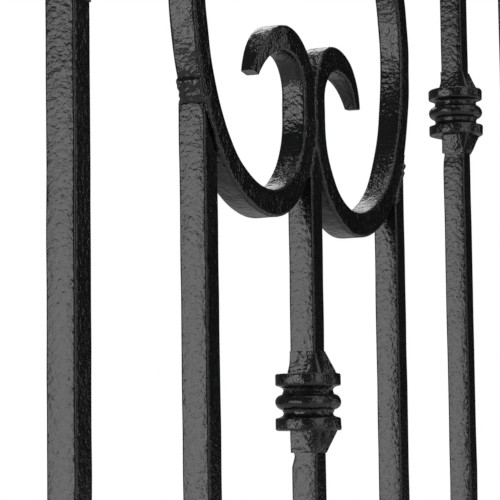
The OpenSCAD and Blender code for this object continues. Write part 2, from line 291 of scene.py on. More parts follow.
@dataclass(frozen=True)
class ZincPlate:
    """Zinc-plated steel, dulled outdoors.

    The eye gets a cool grey metal, cloudy from white bloom, with a fine grain and a little
    brown where the plating is thin.
    """

    name: str
    stain: tuple[float, str] = (0.30, "#6b5f52")
    colour: tuple[float, str] = (0.42, "#8f9294")
    bloom: tuple[float, str] = (0.70, "#b3b5b4")
    smoothest: float = 0.30
    roughest: float = 0.56
    cloud: float = 9.0 * MM
    grain: float = 0.6 * MM
    grain_height: float = 0.02 * MM

    def material(self) -> bpy.types.Material:
        """Builds the plated metal's node material.

        Returns:
            The material, reading Object coordinates.
        """
        material, tree = new_material(self.name)
        place = tree.place()
        cloud = tree.clouds(place, self.cloud, detail=5.0, roughness=0.65)
        grain = tree.clouds(place, self.grain)
        tree.surface(
            {"Metallic": 1.0},
            {
                "Base Color": tree.ramp(cloud, (self.stain, self.colour, self.bloom)),
                "Roughness": tree.mapped(cloud, NOISE_RANGE, (self.smoothest, self.roughest)),
                "Normal": tree.bump(grain, self.grain_height),
            },
        )
        return material


@dataclass(frozen=True)
class Plain:
    """Matt painted board of the studio, with a faint mottle so that it isn't a flat colour."""

    name: str
    colour: str
    shade: str
    roughness: float = 0.85
    mottle: float = 0.35

    def material(self) -> bpy.types.Material:
        """Builds the board's node material.

        Returns:
            The material, reading Object coordinates.
        """
        material, tree = new_material(self.name)
        mottle = tree.clouds(tree.place(), self.mottle)
        colour = tree.ramp(mottle, ((0.0, self.shade), (1.0, self.colour)))
        tree.surface({"Roughness": self.roughness}, {"Base Color": colour})
        return material


@dataclass
class Finishes:
    """The gate's finishes, each built once."""

    bar: bpy.types.Material = field(init=False)
    forged: bpy.types.Material = field(init=False)
    weld: bpy.types.Material = field(init=False)
    plate: bpy.types.Material = field(init=False)
    zinc: bpy.types.Material = field(init=False)

    def __post_init__(self) -> None:
        """Builds the materials."""
        self.bar = Enamel("gloss_enamel_on_rolled_bar").material()
        self.forged = Enamel(
            "gloss_enamel_on_forged_scroll",
            roughness=0.14,
            roughness_spread=0.08,
            peel=1.7 * MM,
            peel_height=0.40 * MM,
            hammer=7.0 * MM,
            hammer_height=0.85 * MM,
        ).material()
        self.weld = Enamel(
            "gloss_enamel_on_weld",
            peel=1.2 * MM,
            peel_height=0.16 * MM,
            hammer=3.5 * MM,
            hammer_height=0.5 * MM,
        ).material()
        self.plate = Enamel(
            "satin_enamel_on_plate",
            colour="#1c1d1f",
            thin_colour="#2a2b2d",
            roughness=0.42,
            peel_height=0.14 * MM,
            hammer_height=0.12 * MM,
            pit_share=0.08,
        ).material()
        self.zinc = ZincPlate("weathered_zinc_plate").material()


# ------------------------------------------------------------------------- mesh helpers


def moved(vector: Sequence[float]) -> Matrix:
    """Gives the matrix that moves by a vector."""
    return Matrix.Translation(Vector(vector))


def set_at(
    bm: bmesh.types.BMesh, place: Sequence[float], degrees: float = 0.0, about: str = "Z"
) -> bmesh.types.BMesh:
    """Tips a mesh about an axis through the origin, then moves it to a place.

    Args:
        bm: The mesh.
        place: Where its origin goes.
        degrees: How far it is tipped.
        about: The axis.

    Returns:
        The same mesh.
    """
    tipped = Matrix.Rotation(math.radians(degrees), 4, about)
    bmesh.ops.transform(bm, matrix=moved(place) @ tipped, verts=bm.verts)
    return bm


def wrinkle(place: Vector, size: float, height: float, seed: float = 0.0) -> Vector:
    """Gives a place its small smooth offset, for the unevenness of hand-worked metal."""
    return noise.noise_vector(place / size + Vector((seed, -seed, 2 * seed))) * height


def roughen(bm: bmesh.types.BMesh, size: float, height: float, seed: float = 0.0) -> None:
    """Makes a mesh uneven at this size and height, in a pattern that the seed shifts."""
    for vert in bm.verts:
        vert.co += wrinkle(vert.co, size, height, seed)


def cap_open_ends(bm: bmesh.types.BMesh) -> None:
    """Closes every open loop of a mesh and points its faces outwards."""
    bmesh.ops.holes_fill(bm, edges=[e for e in bm.edges if e.is_boundary], sides=0)
    bmesh.ops.recalc_face_normals(bm, faces=bm.faces)


def cut_across(bm: bmesh.types.BMesh, x: float, way: int = 1, clear: bool = True) -> None:
    """Cuts a mesh by a plane across X.

    Args:
        bm: The mesh.
        x: The plane's place.
        way: The side that is cleared away, 1 or -1.
        clear: Whether anything is cleared away.
    """
    bmesh.ops.bisect_plane(
        bm,
        geom=bm.verts[:] + bm.edges[:] + bm.faces[:],
        plane_co=(x, 0, 0),
        plane_no=(way, 0, 0),
        clear_outer=clear,
        dist=1e-7,
    )


def sweep(
    bm: bmesh.types.BMesh,
    geom: Sequence[Any],
    centre: Sequence[float],
    axis: Sequence[float],
    angle: float,
    steps: int,
    advance: float = 0.0,
    joined: bool = False,
) -> list[Any]:
    """Sweeps an outline or a section about an axis.

    Args:
        bm: The mesh.
        geom: The outline's vertices and edges.
        centre: A point of the axis.
        axis: Its direction.
        angle: The angle of the sweep.
        steps: The number of steps in it.
        advance: How far each step goes along the axis.
        joined: Whether the end is joined to the start.

    Returns:
        What lies at the end of the sweep.
    """
    swept = bmesh.ops.spin(
        bm,
        geom=geom,
        cent=centre,
        axis=axis,
        dvec=Vector(axis) * advance,
        angle=angle,
        steps=steps,
        use_merge=joined,
    )
    return swept["geom_last"]


def drawn_line(
    bm: bmesh.types.BMesh, places: Iterable[Sequence[float]], closed: bool = False
) -> list[Any]:
    """Draws a line through places.

    Args:
        bm: The mesh that it is drawn in.
        places: The places in order.
        closed: Whether the line ends where it starts.

    Returns:
        Its vertices and edges.
    """
    verts = [bm.verts.new(place) for place in places]
    edges = [bm.edges.new(pair) for pair in zip(verts, verts[1:])]
    if closed:
        edges.append(bm.edges.new((verts[-1], verts[0])))
    return verts + edges


def long_edges(bm: bmesh.types.BMesh, axis: int, least: float) -> list[bmesh.types.BMEdge]:
    """Lists the edges that run along an axis.

    Args:
        bm: The mesh.
        axis: The axis's number.
        least: The least length of an edge.

    Returns:
        The edges.
    """
    found = []
    for edge in bm.edges:
        run = edge.verts[1].co - edge.verts[0].co
        if abs(run[axis]) > max(least, 0.999 * run.length):
            found.append(edge)
    return found


def box_mesh(low: Vector, high: Vector) -> bmesh.types.BMesh:
    """Makes a box.

    Args:
        low: Its lowest corner.
        high: Its highest corner.

    Returns:
        The box as a new mesh.
    """
    bm = bmesh.new()
    place = moved((low + high) / 2) @ Matrix.Diagonal((*(high - low), 1.0))
    bmesh.ops.create_cube(bm, size=1.0, matrix=place)
    return bm


def round_edges(
    bm: bmesh.types.BMesh, edges: Iterable[bmesh.types.BMEdge], radius: float, segments: int = 3
) -> None:
    """Rounds edges of a mesh.

    Args:
        bm: The mesh.
        edges: The edges.
        radius: How far the rounding reaches from each edge.
        segments: The number of faces across it.
    """
    bmesh.ops.bevel(
        bm,
        geom=list(edges),
        offset=radius,
        offset_type="OFFSET",
        segments=segments,
        profile=0.5,
        affect="EDGES",
        material=-1,
        clamp_overlap=True,
    )


def round_corners(bm: bmesh.types.BMesh, radius: float, segments: int, cuts: int = 0) -> None:
    """Rounds the corners of a flat section and leaves its outline without a face.

    Args:
        bm: The mesh, which holds nothing but the section.
        radius: How far the rounding reaches from each corner.
        segments: The number of edges across it.
        cuts: The number of cuts in each of the flat sides.
    """
    bmesh.ops.bevel(
        bm,
        geom=bm.verts[:],
        offset=radius,
        offset_type="OFFSET",
        segments=segments,
        profile=0.5,
        affect="VERTICES",
        material=-1,
    )
    if cuts:
        flats = [e for e in bm.edges if e.calc_length() > 2 * radius]
        bmesh.ops.subdivide_edges(bm, edges=flats, cuts=cuts)
    bmesh.ops.delete(bm, geom=bm.faces[:], context="FACES_ONLY")


def sharp_edges(bm: bmesh.types.BMesh, angle: float) -> list[bmesh.types.BMEdge]:
    """Lists the edges whose faces meet at more than an angle."""
    bm.normal_update()
    return [e for e in bm.edges if len(e.link_faces) == 2 and e.calc_face_angle(0.0) > angle]


def lathe(
    profile: Sequence[tuple[float, float]], steps: int = 48, closed: bool = False
) -> bmesh.types.BMesh:
    """Turns an outline about Z.

    Args:
        profile: Pairs of radius and height, from one end to the other.
        steps: The number of faces round it.
        closed: Whether the outline is joined end to end, for a ring.

    Returns:
        The turned solid as a new mesh, closed, with its faces outwards.
    """
    bm = bmesh.new()
    outline = drawn_line(bm, [(radius, 0.0, height) for radius, height in profile], closed)
    sweep(bm, outline, (0, 0, 0), (0, 0, 1), 2 * math.pi, steps, joined=True)
    bmesh.ops.remove_doubles(bm, verts=bm.verts, dist=SAME_POINT)
    cap_open_ends(bm)
    return bm


def arc(
    centre: tuple[float, float], radius: float, start: float, end: float, steps: int
) -> list[tuple[float, float]]:
    """Lists points along an arc of an outline to be turned; its angles are in degrees."""
    angles = [math.radians(start + (end - start) * i / steps) for i in range(steps + 1)]
    return [(centre[0] + radius * math.cos(a), centre[1] + radius * math.sin(a)) for a in angles]


def ball_outline(ball: float, middle: float, neck: float) -> list[tuple[float, float]]:
    """Lists points up the outline of a ball, from its neck to its top.

    Args:
        ball: The ball's radius.
        middle: The height of its middle.
        neck: The radius of the neck that it stands on.

    Returns:
        Pairs of radius and height.
    """
    start = math.asin(neck / ball)
    chords = 24
    angles = [start + (math.pi - start) * i / chords for i in range(chords)]
    outline = [(ball * math.sin(a), middle - ball * math.cos(a)) for a in angles]
    return outline + [(0.0, middle + ball)]


def hoop_outline(
    bore: float, outer: float, height: float, bore_rim: float, rim: float
) -> list[tuple[float, float]]:
    """Gives the closed outline of a plain hoop with rounded rims, standing on height 0.

    Args:
        bore: The bore's radius.
        outer: The outer radius.
        height: The hoop's height.
        bore_rim: The chamfer of the bore.
        rim: The rounding of the outer edges.

    Returns:
        Pairs of radius and height.
    """
    outline = [(bore, bore_rim), (bore + bore_rim, 0.0)]
    outline += arc((outer - rim, rim), rim, -90, 0, 4)
    outline += arc((outer - rim, height - rim), rim, 0, 90, 4)
    outline += [(bore + bore_rim, height), (bore, height - bore_rim)]
    return outline


def joined_meshes(parts: Sequence[bmesh.types.BMesh]) -> bmesh.types.BMesh:
    """Puts several meshes into one.

    Args:
        parts: The meshes. They are freed.

    Returns:
        One mesh with all of them.
    """
    whole = bmesh.new()
    for part in parts:
        spare = bpy.data.meshes.new("spare")
        part.to_mesh(spare)
        part.free()
        whole.from_mesh(spare)
        bpy.data.meshes.remove(spare)
    return whole


def softened_copy(node: str, radius: float) -> bmesh.types.BMesh:
    """Copies a CAD node's mesh and rounds its long straight outer edges.

    Args:
        node: The node's name.
        radius: How far the rounding reaches.

    Returns:
        The copy as a new mesh.
    """
    bm = bmesh.new()
    bm.from_mesh(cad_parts[node].data)
    bmesh.ops.remove_doubles(bm, verts=bm.verts, dist=SAME_POINT)
    bmesh.ops.dissolve_limit(bm, angle_limit=FLAT_ANGLE, verts=bm.verts, edges=bm.edges)
    outer = [e for e in sharp_edges(bm, CORNER_ANGLE) if e.is_convex]
    round_edges(bm, [e for e in outer if e.calc_length() > 6 * radius], radius)
    return bm


def piece(
    bm: bmesh.types.BMesh,
    name: str,
    material: bpy.types.Material,
    body: Body,
    nodes: Sequence[str],
    crease: float = 35.0,
) -> bpy.types.Object:
    """Turns a finished mesh into a dressed piece that rides on its body.

    Args:
        bm: The mesh, in place. It is freed.
        name: The piece's name.
        material: Its finish.
        body: The body that it moves with.
        nodes: The CAD nodes that it stands for.
        crease: The angle, in degrees, past which an edge stays sharp to the eye.

    Returns:
        The new object.
    """
    mesh = bpy.data.meshes.new(name)
    bm.to_mesh(mesh)
    bm.free()
    mesh.materials.append(material)
    mesh.shade_smooth()
    mesh.set_sharp_from_angle(angle=math.radians(crease))
    made = bpy.data.objects.new(name, mesh)
    bpy.context.scene.collection.objects.link(made)
    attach(made, body.value)
    if nodes:
        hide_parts(*nodes)
    log.info("%s: %d faces", name, len(mesh.polygons))
    return made


# ------------------------------------------------------------------------------- heart


@dataclass
class Heart:
    """The heart's outline in the plane of the gate: bends in proportion, scaled to the scroll."""

    toe: float = 50
    heel: float = 69.5
    shoulder: float = 120
    point: float = 220
    curl: float = 28
    heel_turn: float = math.radians(61)
    shoulder_turn: float = math.radians(20)
    curl_turn: float = math.radians(175)
    draw_turn: float = math.radians(80)
    thick: float = 12 * MM
    tip: float = 6.5 * MM
    middle: float = field(init=False)
    bottom: float = field(init=False)
    front: float = field(init=False)
    back: float = field(init=False)

    def __post_init__(self) -> None:
        """Places the outline by the CAD scroll and scales its bends to the scroll's width."""
        low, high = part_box("heart_scroll_right")
        self.middle, self.front, self.bottom = low
        self.back = high.y
        lean = math.sin(self.heel_turn)
        half_width = self.toe + self.heel * lean + self.shoulder * (1 - lean)
        scale = (high.x - low.x) / half_width
        for bend in ("toe", "heel", "shoulder", "point", "curl"):
            setattr(self, bend, getattr(self, bend) * scale)

    @property
    def toe_centre(self) -> Vector:
        """Centre of the bend that rises between the scrolls, across and up."""
        return Vector((self.toe, self.toe))

    @property
    def heel_centre(self) -> Vector:
        """Centre of the bend under the shoulder."""
        return Vector((self.toe, self.heel))

    @property
    def shoulder_centre(self) -> Vector:
        """Centre of the bend at the shoulder."""
        way = Vector((math.sin(self.heel_turn), -math.cos(self.heel_turn)))
        return self.heel_centre + (self.heel - self.shoulder) * way

    @property
    def point_centre(self) -> Vector:
        """Centre of the bend that leads to the heart's point."""
        way = Vector((math.cos(self.shoulder_turn), math.sin(self.shoulder_turn)))
        return self.shoulder_centre + (self.shoulder - self.point) * way

    @property
    def curl_centre(self) -> Vector:
        """Centre of the curl."""
        return Vector((self.curl, self.toe + self.curl / 3))

    @property
    def point_turn(self) -> float:
        """Angle at which the outer edge meets the middle line."""
        return math.acos(-self.point_centre.x / self.point)

    def under(self, centre: Vector, radius: float, aside: float) -> float:
        """Height of the underside of a bend at a distance from the middle line."""
        return self.bottom + centre.y - math.sqrt(max(radius**2 - (aside - centre.x) ** 2, 0.0))

    def over(self, centre: Vector, radius: float, aside: float) -> float:
        """Height of the upper side of a bend at a distance from the middle line."""
        return self.bottom + centre.y + math.sqrt(max(radius**2 - (aside - centre.x) ** 2, 0.0))


@dataclass
class HeartScrolls:
    """The two forged scrolls, bent from square bar, with drawn tips that end blunt."""

    heart: Heart
    finishes: Finishes
    edge: float = 1.5 * MM
    step: float = 2.5 * MM
    unevenness: float = 0.25 * MM
    waves: float = 16 * MM
    cuts: int = 4
    rises: int = 4
    past_point: float = math.radians(6)
    tip_round: float = 1.6 * MM
    tip_depth: float = 5.8 * MM
    tip_crease: float = math.radians(55)
    tip_from: float = 3.0
    curl_slack: float = 1.02
    turn_slack: float = 1.001
    flank_power: float = 1.2
    left_short: float = math.radians(3.5)

    def build(self) -> None:
        """Builds both scrolls."""
        for side, node in ((-1, "heart_scroll_left"), (1, "heart_scroll_right")):
            bm = self.scroll(side)
            piece(bm, f"forged_{node}", self.finishes.forged, Body.LEAF, [node], crease=50)

    def section(self, bm: bmesh.types.BMesh) -> list[Any]:
        """Draws the bar's rounded section about the origin, across X and Y.

        Args:
            bm: The mesh that it is drawn in.

        Returns:
            The section's vertices and edges.
        """
        heart = self.heart
        bmesh.ops.create_circle(bm, cap_ends=False, radius=math.sqrt(0.5), segments=4)
        turn = Matrix.Rotation(math.pi / 4, 4, "Z")
        size = Matrix.Diagonal((heart.thick, heart.back - heart.front, 1.0, 1.0))
        bmesh.ops.transform(bm, matrix=size @ turn, verts=bm.verts)
        bmesh.ops.contextual_create(bm, geom=bm.edges[:])
        round_corners(bm, self.edge, segments=4, cuts=self.cuts)
        return bm.verts[:] + bm.edges[:]

    def scroll(self, side: int) -> bmesh.types.BMesh:
        """Bends one scroll.

        Args:
            side: -1 for the left scroll, 1 for the right.

        Returns:
            The scroll's mesh, in place.
        """
        heart = self.heart
        bm = bmesh.new()
        geom = self.section(bm)
        start = heart.point_turn + self.past_point
        centre = heart.point_centre
        place = (
            moved((centre.x, (heart.front + heart.back) / 2, centre.y))
            @ Matrix.Rotation(-start, 4, "Y")
            @ moved((heart.point - heart.thick / 2, 0, 0))
        )
        bmesh.ops.transform(bm, matrix=place, verts=bm.verts)
        quarter = math.pi / 2
        bends = (
            (heart.point_centre, heart.point, start - heart.shoulder_turn),
            (heart.shoulder_centre, heart.shoulder, heart.shoulder_turn + quarter - heart.heel_turn),
            (heart.heel_centre, heart.heel, heart.heel_turn),
            (heart.toe_centre, heart.toe, quarter),
        )
        for centre, radius, turn in bends:
            geom = self.bend(bm, geom, centre, radius, turn)
        rise = (heart.curl_centre.y - heart.toe_centre.y) / self.rises
        for _ in range(self.rises):
            edges = [e for e in geom if isinstance(e, bmesh.types.BMEdge)]
            geom = bmesh.ops.extrude_edge_only(bm, edges=edges)["geom"]
            ends = [v for v in geom if isinstance(v, bmesh.types.BMVert)]
            bmesh.ops.translate(bm, vec=(0, 0, rise), verts=ends)
        shorter = self.left_short if side < 0 else 0.0
        self.bend(bm, geom, heart.curl_centre, heart.curl, heart.curl_turn - shorter)
        for vert in bm.verts:
            self.draw_down(vert, side)
        cut_across(bm, 0, -1)
        cap_open_ends(bm)
        sharp = sharp_edges(bm, self.tip_crease)
        tip = [e for e in sharp if self.turn_of(e.verts[0].co) > self.tip_from]
        round_edges(bm, tip, self.tip_round, segments=4)
        bmesh.ops.scale(bm, vec=(side, 1, 1), verts=bm.verts)
        bmesh.ops.translate(bm, vec=(heart.middle, 0, heart.bottom), verts=bm.verts)
        roughen(bm, self.waves, self.unevenness, side)
        bmesh.ops.recalc_face_normals(bm, faces=bm.faces)
        return bm

    def bend(
        self, bm: bmesh.types.BMesh, geom: list[Any], centre: Vector, radius: float, turn: float
    ) -> list[Any]:
        """Sweeps the section round one bend.

        Args:
            bm: The mesh.
            geom: The section, as vertices and edges among other things.
            centre: The bend's centre, across and up.
            radius: Its outer radius.
            turn: Its angle.

        Returns:
            The section at the bend's end.
        """
        outline = [g for g in geom if not isinstance(g, bmesh.types.BMFace)]
        steps = max(4, round(radius * turn / self.step))
        return sweep(bm, outline, (centre.x, 0, centre.y), (0, 1, 0), turn, steps)

    def turn_of(self, place: Vector) -> float:
        """Turn of the curl, from its start, that passes through a place; 0 off the curl."""
        spoke = Vector((place.x, place.z)) - self.heart.curl_centre
        if spoke.length > self.curl_slack * self.heart.curl or spoke.y < 0 and spoke.x < 0:
            return 0.0
        return (math.pi - math.atan2(spoke.y, spoke.x)) % (2 * math.pi)

    def draw_down(self, vert: bmesh.types.BMVert, side: int) -> None:
        """Thins the curl towards its tip, from the inside and from one flank.

        Args:
            vert: The vertex that is moved.
            side: -1 for the left scroll, which is drawn from the front; 1 for the right, from
                the back.
        """
        heart = self.heart
        drawn = (self.turn_of(vert.co) - heart.curl_turn + heart.draw_turn) / heart.draw_turn
        if drawn <= 0 or drawn > self.turn_slack:
            return
        spoke = Vector((vert.co.x, vert.co.z)) - heart.curl_centre
        thinner = 1 - (1 - heart.tip / heart.thick) * drawn
        place = heart.curl_centre + spoke.normalized() * (
            heart.curl - (heart.curl - spoke.length) * thinner
        )
        vert.co.x, vert.co.z = place
        flank = 1 - (1 - self.tip_depth / (heart.back - heart.front)) * drawn**self.flank_power
        kept = heart.back if side < 0 else heart.front
        vert.co.y = kept + (vert.co.y - kept) * flank


# --------------------------------------------------------------------------------- bars


class End(Enum):
    """How an upright's end is cut."""

    SQUARE = "square"
    BOW = "under the bow"
    SHOULDER = "against the shoulder of a scroll"
    POINT = "on the heart's point or its side"
    VEE = "in a vee between the scrolls"


@dataclass
class Bow:
    """The underside of the bow, as a circle in the plane of the gate."""

    rail: float = 10 * MM
    middle: float = field(init=False)
    crown: float = field(init=False)
    radius: float = field(init=False)
    ends: tuple[float, float] = field(init=False)

    def __post_init__(self) -> None:
        """Finds the circle through the CAD rail's ends and its crown."""
        low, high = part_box("top_rail")
        self.ends = (low.x, high.x)
        half = (high.x - low.x) / 2
        self.middle = (low.x + high.x) / 2
        self.crown = high.z - self.rail
        rise = self.crown - low.z
        self.radius = (half**2 + rise**2) / (2 * rise)

    def under(self, x: float) -> float:
        """Height of the underside at a place across the leaf."""
        return self.crown - self.radius + math.sqrt(self.radius**2 - (x - self.middle) ** 2)


@dataclass
class Uprights:
    """The square infill bars, cut to the bow and to the heart."""

    heart: Heart
    bow: Bow
    finishes: Finishes
    edge: float = 0.9 * MM
    ring: float = 5.0 * MM
    slices: int = 6
    least_edge: float = 20 * MM
    drawn_end: float = 4 * MM
    lean: float = 1.2 * MM
    neck_drop: float = 1.0 * MM
    neck_reach: float = 4.0 * MM
    neck_across: float = 0.20
    neck_behind: float = 0.16
    neck_power: float = 0.7
    waves: float = 22 * MM
    unevenness: float = 0.16 * MM

    def build(self) -> None:
        """Builds every upright."""
        shoulder = (End.SQUARE, End.SHOULDER)
        cuts = dict.fromkeys(("bar_1", "bar_2", "bar_6", "bar_7"), (End.SQUARE, End.BOW))
        cuts |= {"lower_bar_3": shoulder, "lower_bar_4": (End.SQUARE, End.VEE), "lower_bar_5": shoulder}
        cuts |= dict.fromkeys(("upper_bar_3", "upper_bar_4", "upper_bar_5"), (End.POINT, End.BOW))
        for number, (node, (foot, head)) in enumerate(cuts.items()):
            bm = self.bar(node)
            self.cut(bm, node, foot, head)
            for knuckle, bar in Knuckles.BARS.items():
                if bar == node and knuckle != "knuckle_left":
                    self.neck(bm, knuckle)
            if node == "lower_bar_3":
                self.lean_back(bm, node)
            roughen(bm, self.waves, self.unevenness, number)
            piece(bm, f"painted_{node}", self.finishes.bar, Body.LEAF, [node], crease=50)

    def lean_back(self, bm: bmesh.types.BMesh, node: str) -> None:
        """Leans a bar's head a little towards the garden, as it was pulled in the welding."""
        low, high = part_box(node)
        for vert in bm.verts:
            share = max(0.0, (vert.co.z - low.z) / (high.z - low.z))
            vert.co.y += self.lean * share**2

    def bar(self, node: str) -> bmesh.types.BMesh:
        """Makes one square-ended bar with rounded corners, in rings and in slices across X.

        Args:
            node: The CAD node.

        Returns:
            The bar's mesh, in place.
        """
        low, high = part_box(node)
        bm = box_mesh(low, high)
        round_edges(bm, long_edges(bm, 2, self.least_edge), self.edge)
        rings = max(2, round((high.z - low.z) / self.ring))
        bmesh.ops.subdivide_edges(bm, edges=long_edges(bm, 2, self.least_edge), cuts=rings)
        for number in range(1, self.slices):
            share = number / self.slices
            cut_across(bm, low.x + (high.x - low.x) * share, clear=False)
        return bm

    def cut(self, bm: bmesh.types.BMesh, node: str, foot: End, head: End) -> None:
        """Draws a bar's last rings up or down to the cuts of its ends.

        Args:
            bm: The bar's mesh.
            node: Its CAD node.
            foot: The cut of its lower end.
            head: The cut of its upper end.
        """
        low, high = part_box(node)
        for end, square, way in ((head, high.z, 1), (foot, low.z, -1)):
            if end is End.SQUARE:
                continue
            sides = [self.height(x, end) for x in (low.x, (low.x + high.x) / 2, high.x)]
            start = (min(sides) if way > 0 else max(sides)) - way * self.drawn_end
            for vert in bm.verts:
                if (vert.co.z - start) * way > 0:
                    share = (vert.co.z - start) / (square - start)
                    vert.co.z = start + (self.height(vert.co.x, end) - start) * share

    def height(self, x: float, end: End) -> float:
        """Height of an end's cut at a place across the leaf.

        Args:
            x: The place across the leaf.
            end: The kind of cut.

        Returns:
            The height.
        """
        heart = self.heart
        aside = abs(x - heart.middle)
        if end is End.BOW:
            return self.bow.under(x)
        if end is End.SHOULDER:
            return heart.under(heart.shoulder_centre, heart.shoulder, aside)
        if end is End.POINT:
            return heart.over(heart.point_centre, heart.point, aside)
        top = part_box("lower_bar_4")[1].z
        return min(top, heart.under(heart.toe_centre, heart.toe, aside))

    def neck(self, bm: bmesh.types.BMesh, knuckle: str) -> None:
        """Draws in a bar's back corners where the knuckle's lower fins run out.

        Args:
            bm: The bar's mesh.
            knuckle: The knuckle's CAD node.
        """
        low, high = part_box(knuckle)
        centre = (low + high) / 2
        middle = low.z - self.neck_drop
        for vert in bm.verts:
            near = max(0.0, 1 - abs(vert.co.z - middle) / self.neck_reach) ** self.neck_power
            vert.co.x -= self.neck_across * near * min(0.0, vert.co.x - centre.x)
            vert.co.y -= self.neck_behind * near * max(0.0, vert.co.y - centre.y)


# ----------------------------------------------------------------------------- knuckles


@dataclass
class Knuckles:
    """The forged knuckles: two rings and a bead, with fins drawn from the bar's corners."""

    BARS: ClassVar[dict[str, str]] = {
        "knuckle_left": "bar_2",
        "knuckle_centre": "lower_bar_4",
        "knuckle_right": "bar_6",
    }

    finishes: Finishes
    ring: float = 14.7 * MM
    groove: float = 11.2 * MM
    half: float = 12.7 * MM
    band: float = 5.6 * MM
    bead: float = 3.5 * MM
    lip: float = 0.8 * MM
    fin: float = 10 * MM
    fin_inset: float = 0.5 * MM
    fin_spur: float = 1.2 * MM
    small_fin: float = 0.45
    bar: float = 6.1 * MM
    hollow: float = 2.2 * MM
    web: float = 1.3 * MM
    thin_web: float = 0.2 * MM
    points: int = 12
    rows: int = 8
    short: float = 0.12
    lift: float = 1.6 * MM
    waves: float = 6 * MM
    unevenness: float = 0.30 * MM

    def build(self) -> None:
        """Builds the three knuckles; the left one sits higher, with short lower fins."""
        for seed, node in enumerate(self.BARS):
            low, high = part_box(node)
            left = node == "knuckle_left"
            bm = self.rings()
            self.flare(bm, 1, 1.0)
            self.flare(bm, -1, self.short if left else 1.0)
            centre = (low + high) / 2
            centre.z += self.lift if left else 0.0
            bmesh.ops.translate(bm, vec=centre, verts=bm.verts)
            roughen(bm, self.waves, self.unevenness, seed)
            piece(bm, f"forged_{node}", self.finishes.forged, Body.LEAF, [node], crease=42)

    def rings(self) -> bmesh.types.BMesh:
        """Turns the rings and the bead.

        Returns:
            The turned mesh about the origin.
        """
        inner = self.half - self.band
        lip = self.lip
        outline = [(0.0, self.half)]
        outline += arc((self.ring - lip, self.half - lip), lip, 90, 0, 3)
        outline += arc((self.ring - lip, inner + lip), lip, 0, -90, 3)
        fillet = ((1.6 * MM, 0.3 * MM), (0.4 * MM, 1.0 * MM), (0.0, 2.0 * MM))
        outline += [(self.groove + out, inner - down) for out, down in fillet]
        outline += arc((self.ring - self.bead, 0.0), self.bead, 80, 0, 6)
        mirrored = [(radius, -height) for radius, height in reversed(outline[:-1])]
        return lathe(outline + mirrored, steps=56)

    def flare(self, bm: bmesh.types.BMesh, way: int, length: float) -> None:
        """Adds the four fins on one side of the rings, drawn from the bar's corners.

        Args:
            bm: The knuckle's mesh.
            way: 1 for above, -1 for below.
            length: The share of a fin's full length at which these run out.
        """
        made = bmesh.ops.create_circle(bm, cap_ends=False, radius=1.0, segments=self.points)
        circle = made["verts"]
        edges = list({e for v in circle for e in v.link_edges})
        loops = [circle]
        for _ in range(self.rows):
            grown = bmesh.ops.extrude_edge_only(bm, edges=edges)["geom"]
            loops.append([g for g in grown if isinstance(g, bmesh.types.BMVert)])
            edges = [g for g in grown if isinstance(g, bmesh.types.BMEdge)]
        for row, verts in enumerate(loops):
            share = row / self.rows
            height = self.half - self.lip + share * (self.fin + self.lip)
            for vert in verts:
                vert.co = self.fin_point(vert.co, min(1.0, share / length), way)
                vert.co.z = way * height
        cap_open_ends(bm)

    def fin_point(self, spoke: Vector, share: float, way: int) -> Vector:
        """Gives a point of the flare's section, which has a quarter of its points at each corner.

        Args:
            spoke: The point of a circle that stands for it.
            share: 0 at the ring, 1 where the fins run out into the bar.
            way: 1 for above the rings, -1 for below.

        Returns:
            The point, at height 0.
        """
        turn = math.degrees(math.atan2(spoke.y, spoke.x))
        quarter, part = divmod(round(turn * self.points / 360), self.points // 4)
        corner = math.sqrt(2) * self.bar
        small = quarter % 4 == 1
        small_reach = corner + self.fin_spur if way > 0 else corner
        reach_at_ring = small_reach if small else self.ring - self.fin_inset
        run_out = self.small_fin if small else 1.0
        reach = max(corner, corner + (reach_at_ring - corner) * (1 - share / run_out))
        web = self.web * (1 - share) + self.thin_web * share
        beside = self.bar - self.hollow * (1 - share) - self.fin_inset
        flat = reach / math.sqrt(2)
        local = (
            (self.bar, beside),
            (flat + web / 2, flat - web / 2),
            (flat - web / 2, flat + web / 2),
        )[part]
        return Matrix.Rotation(math.radians(90 * quarter), 3, "Z") @ Vector((*local, 0.0))


# -------------------------------------------------------------------------------- welds


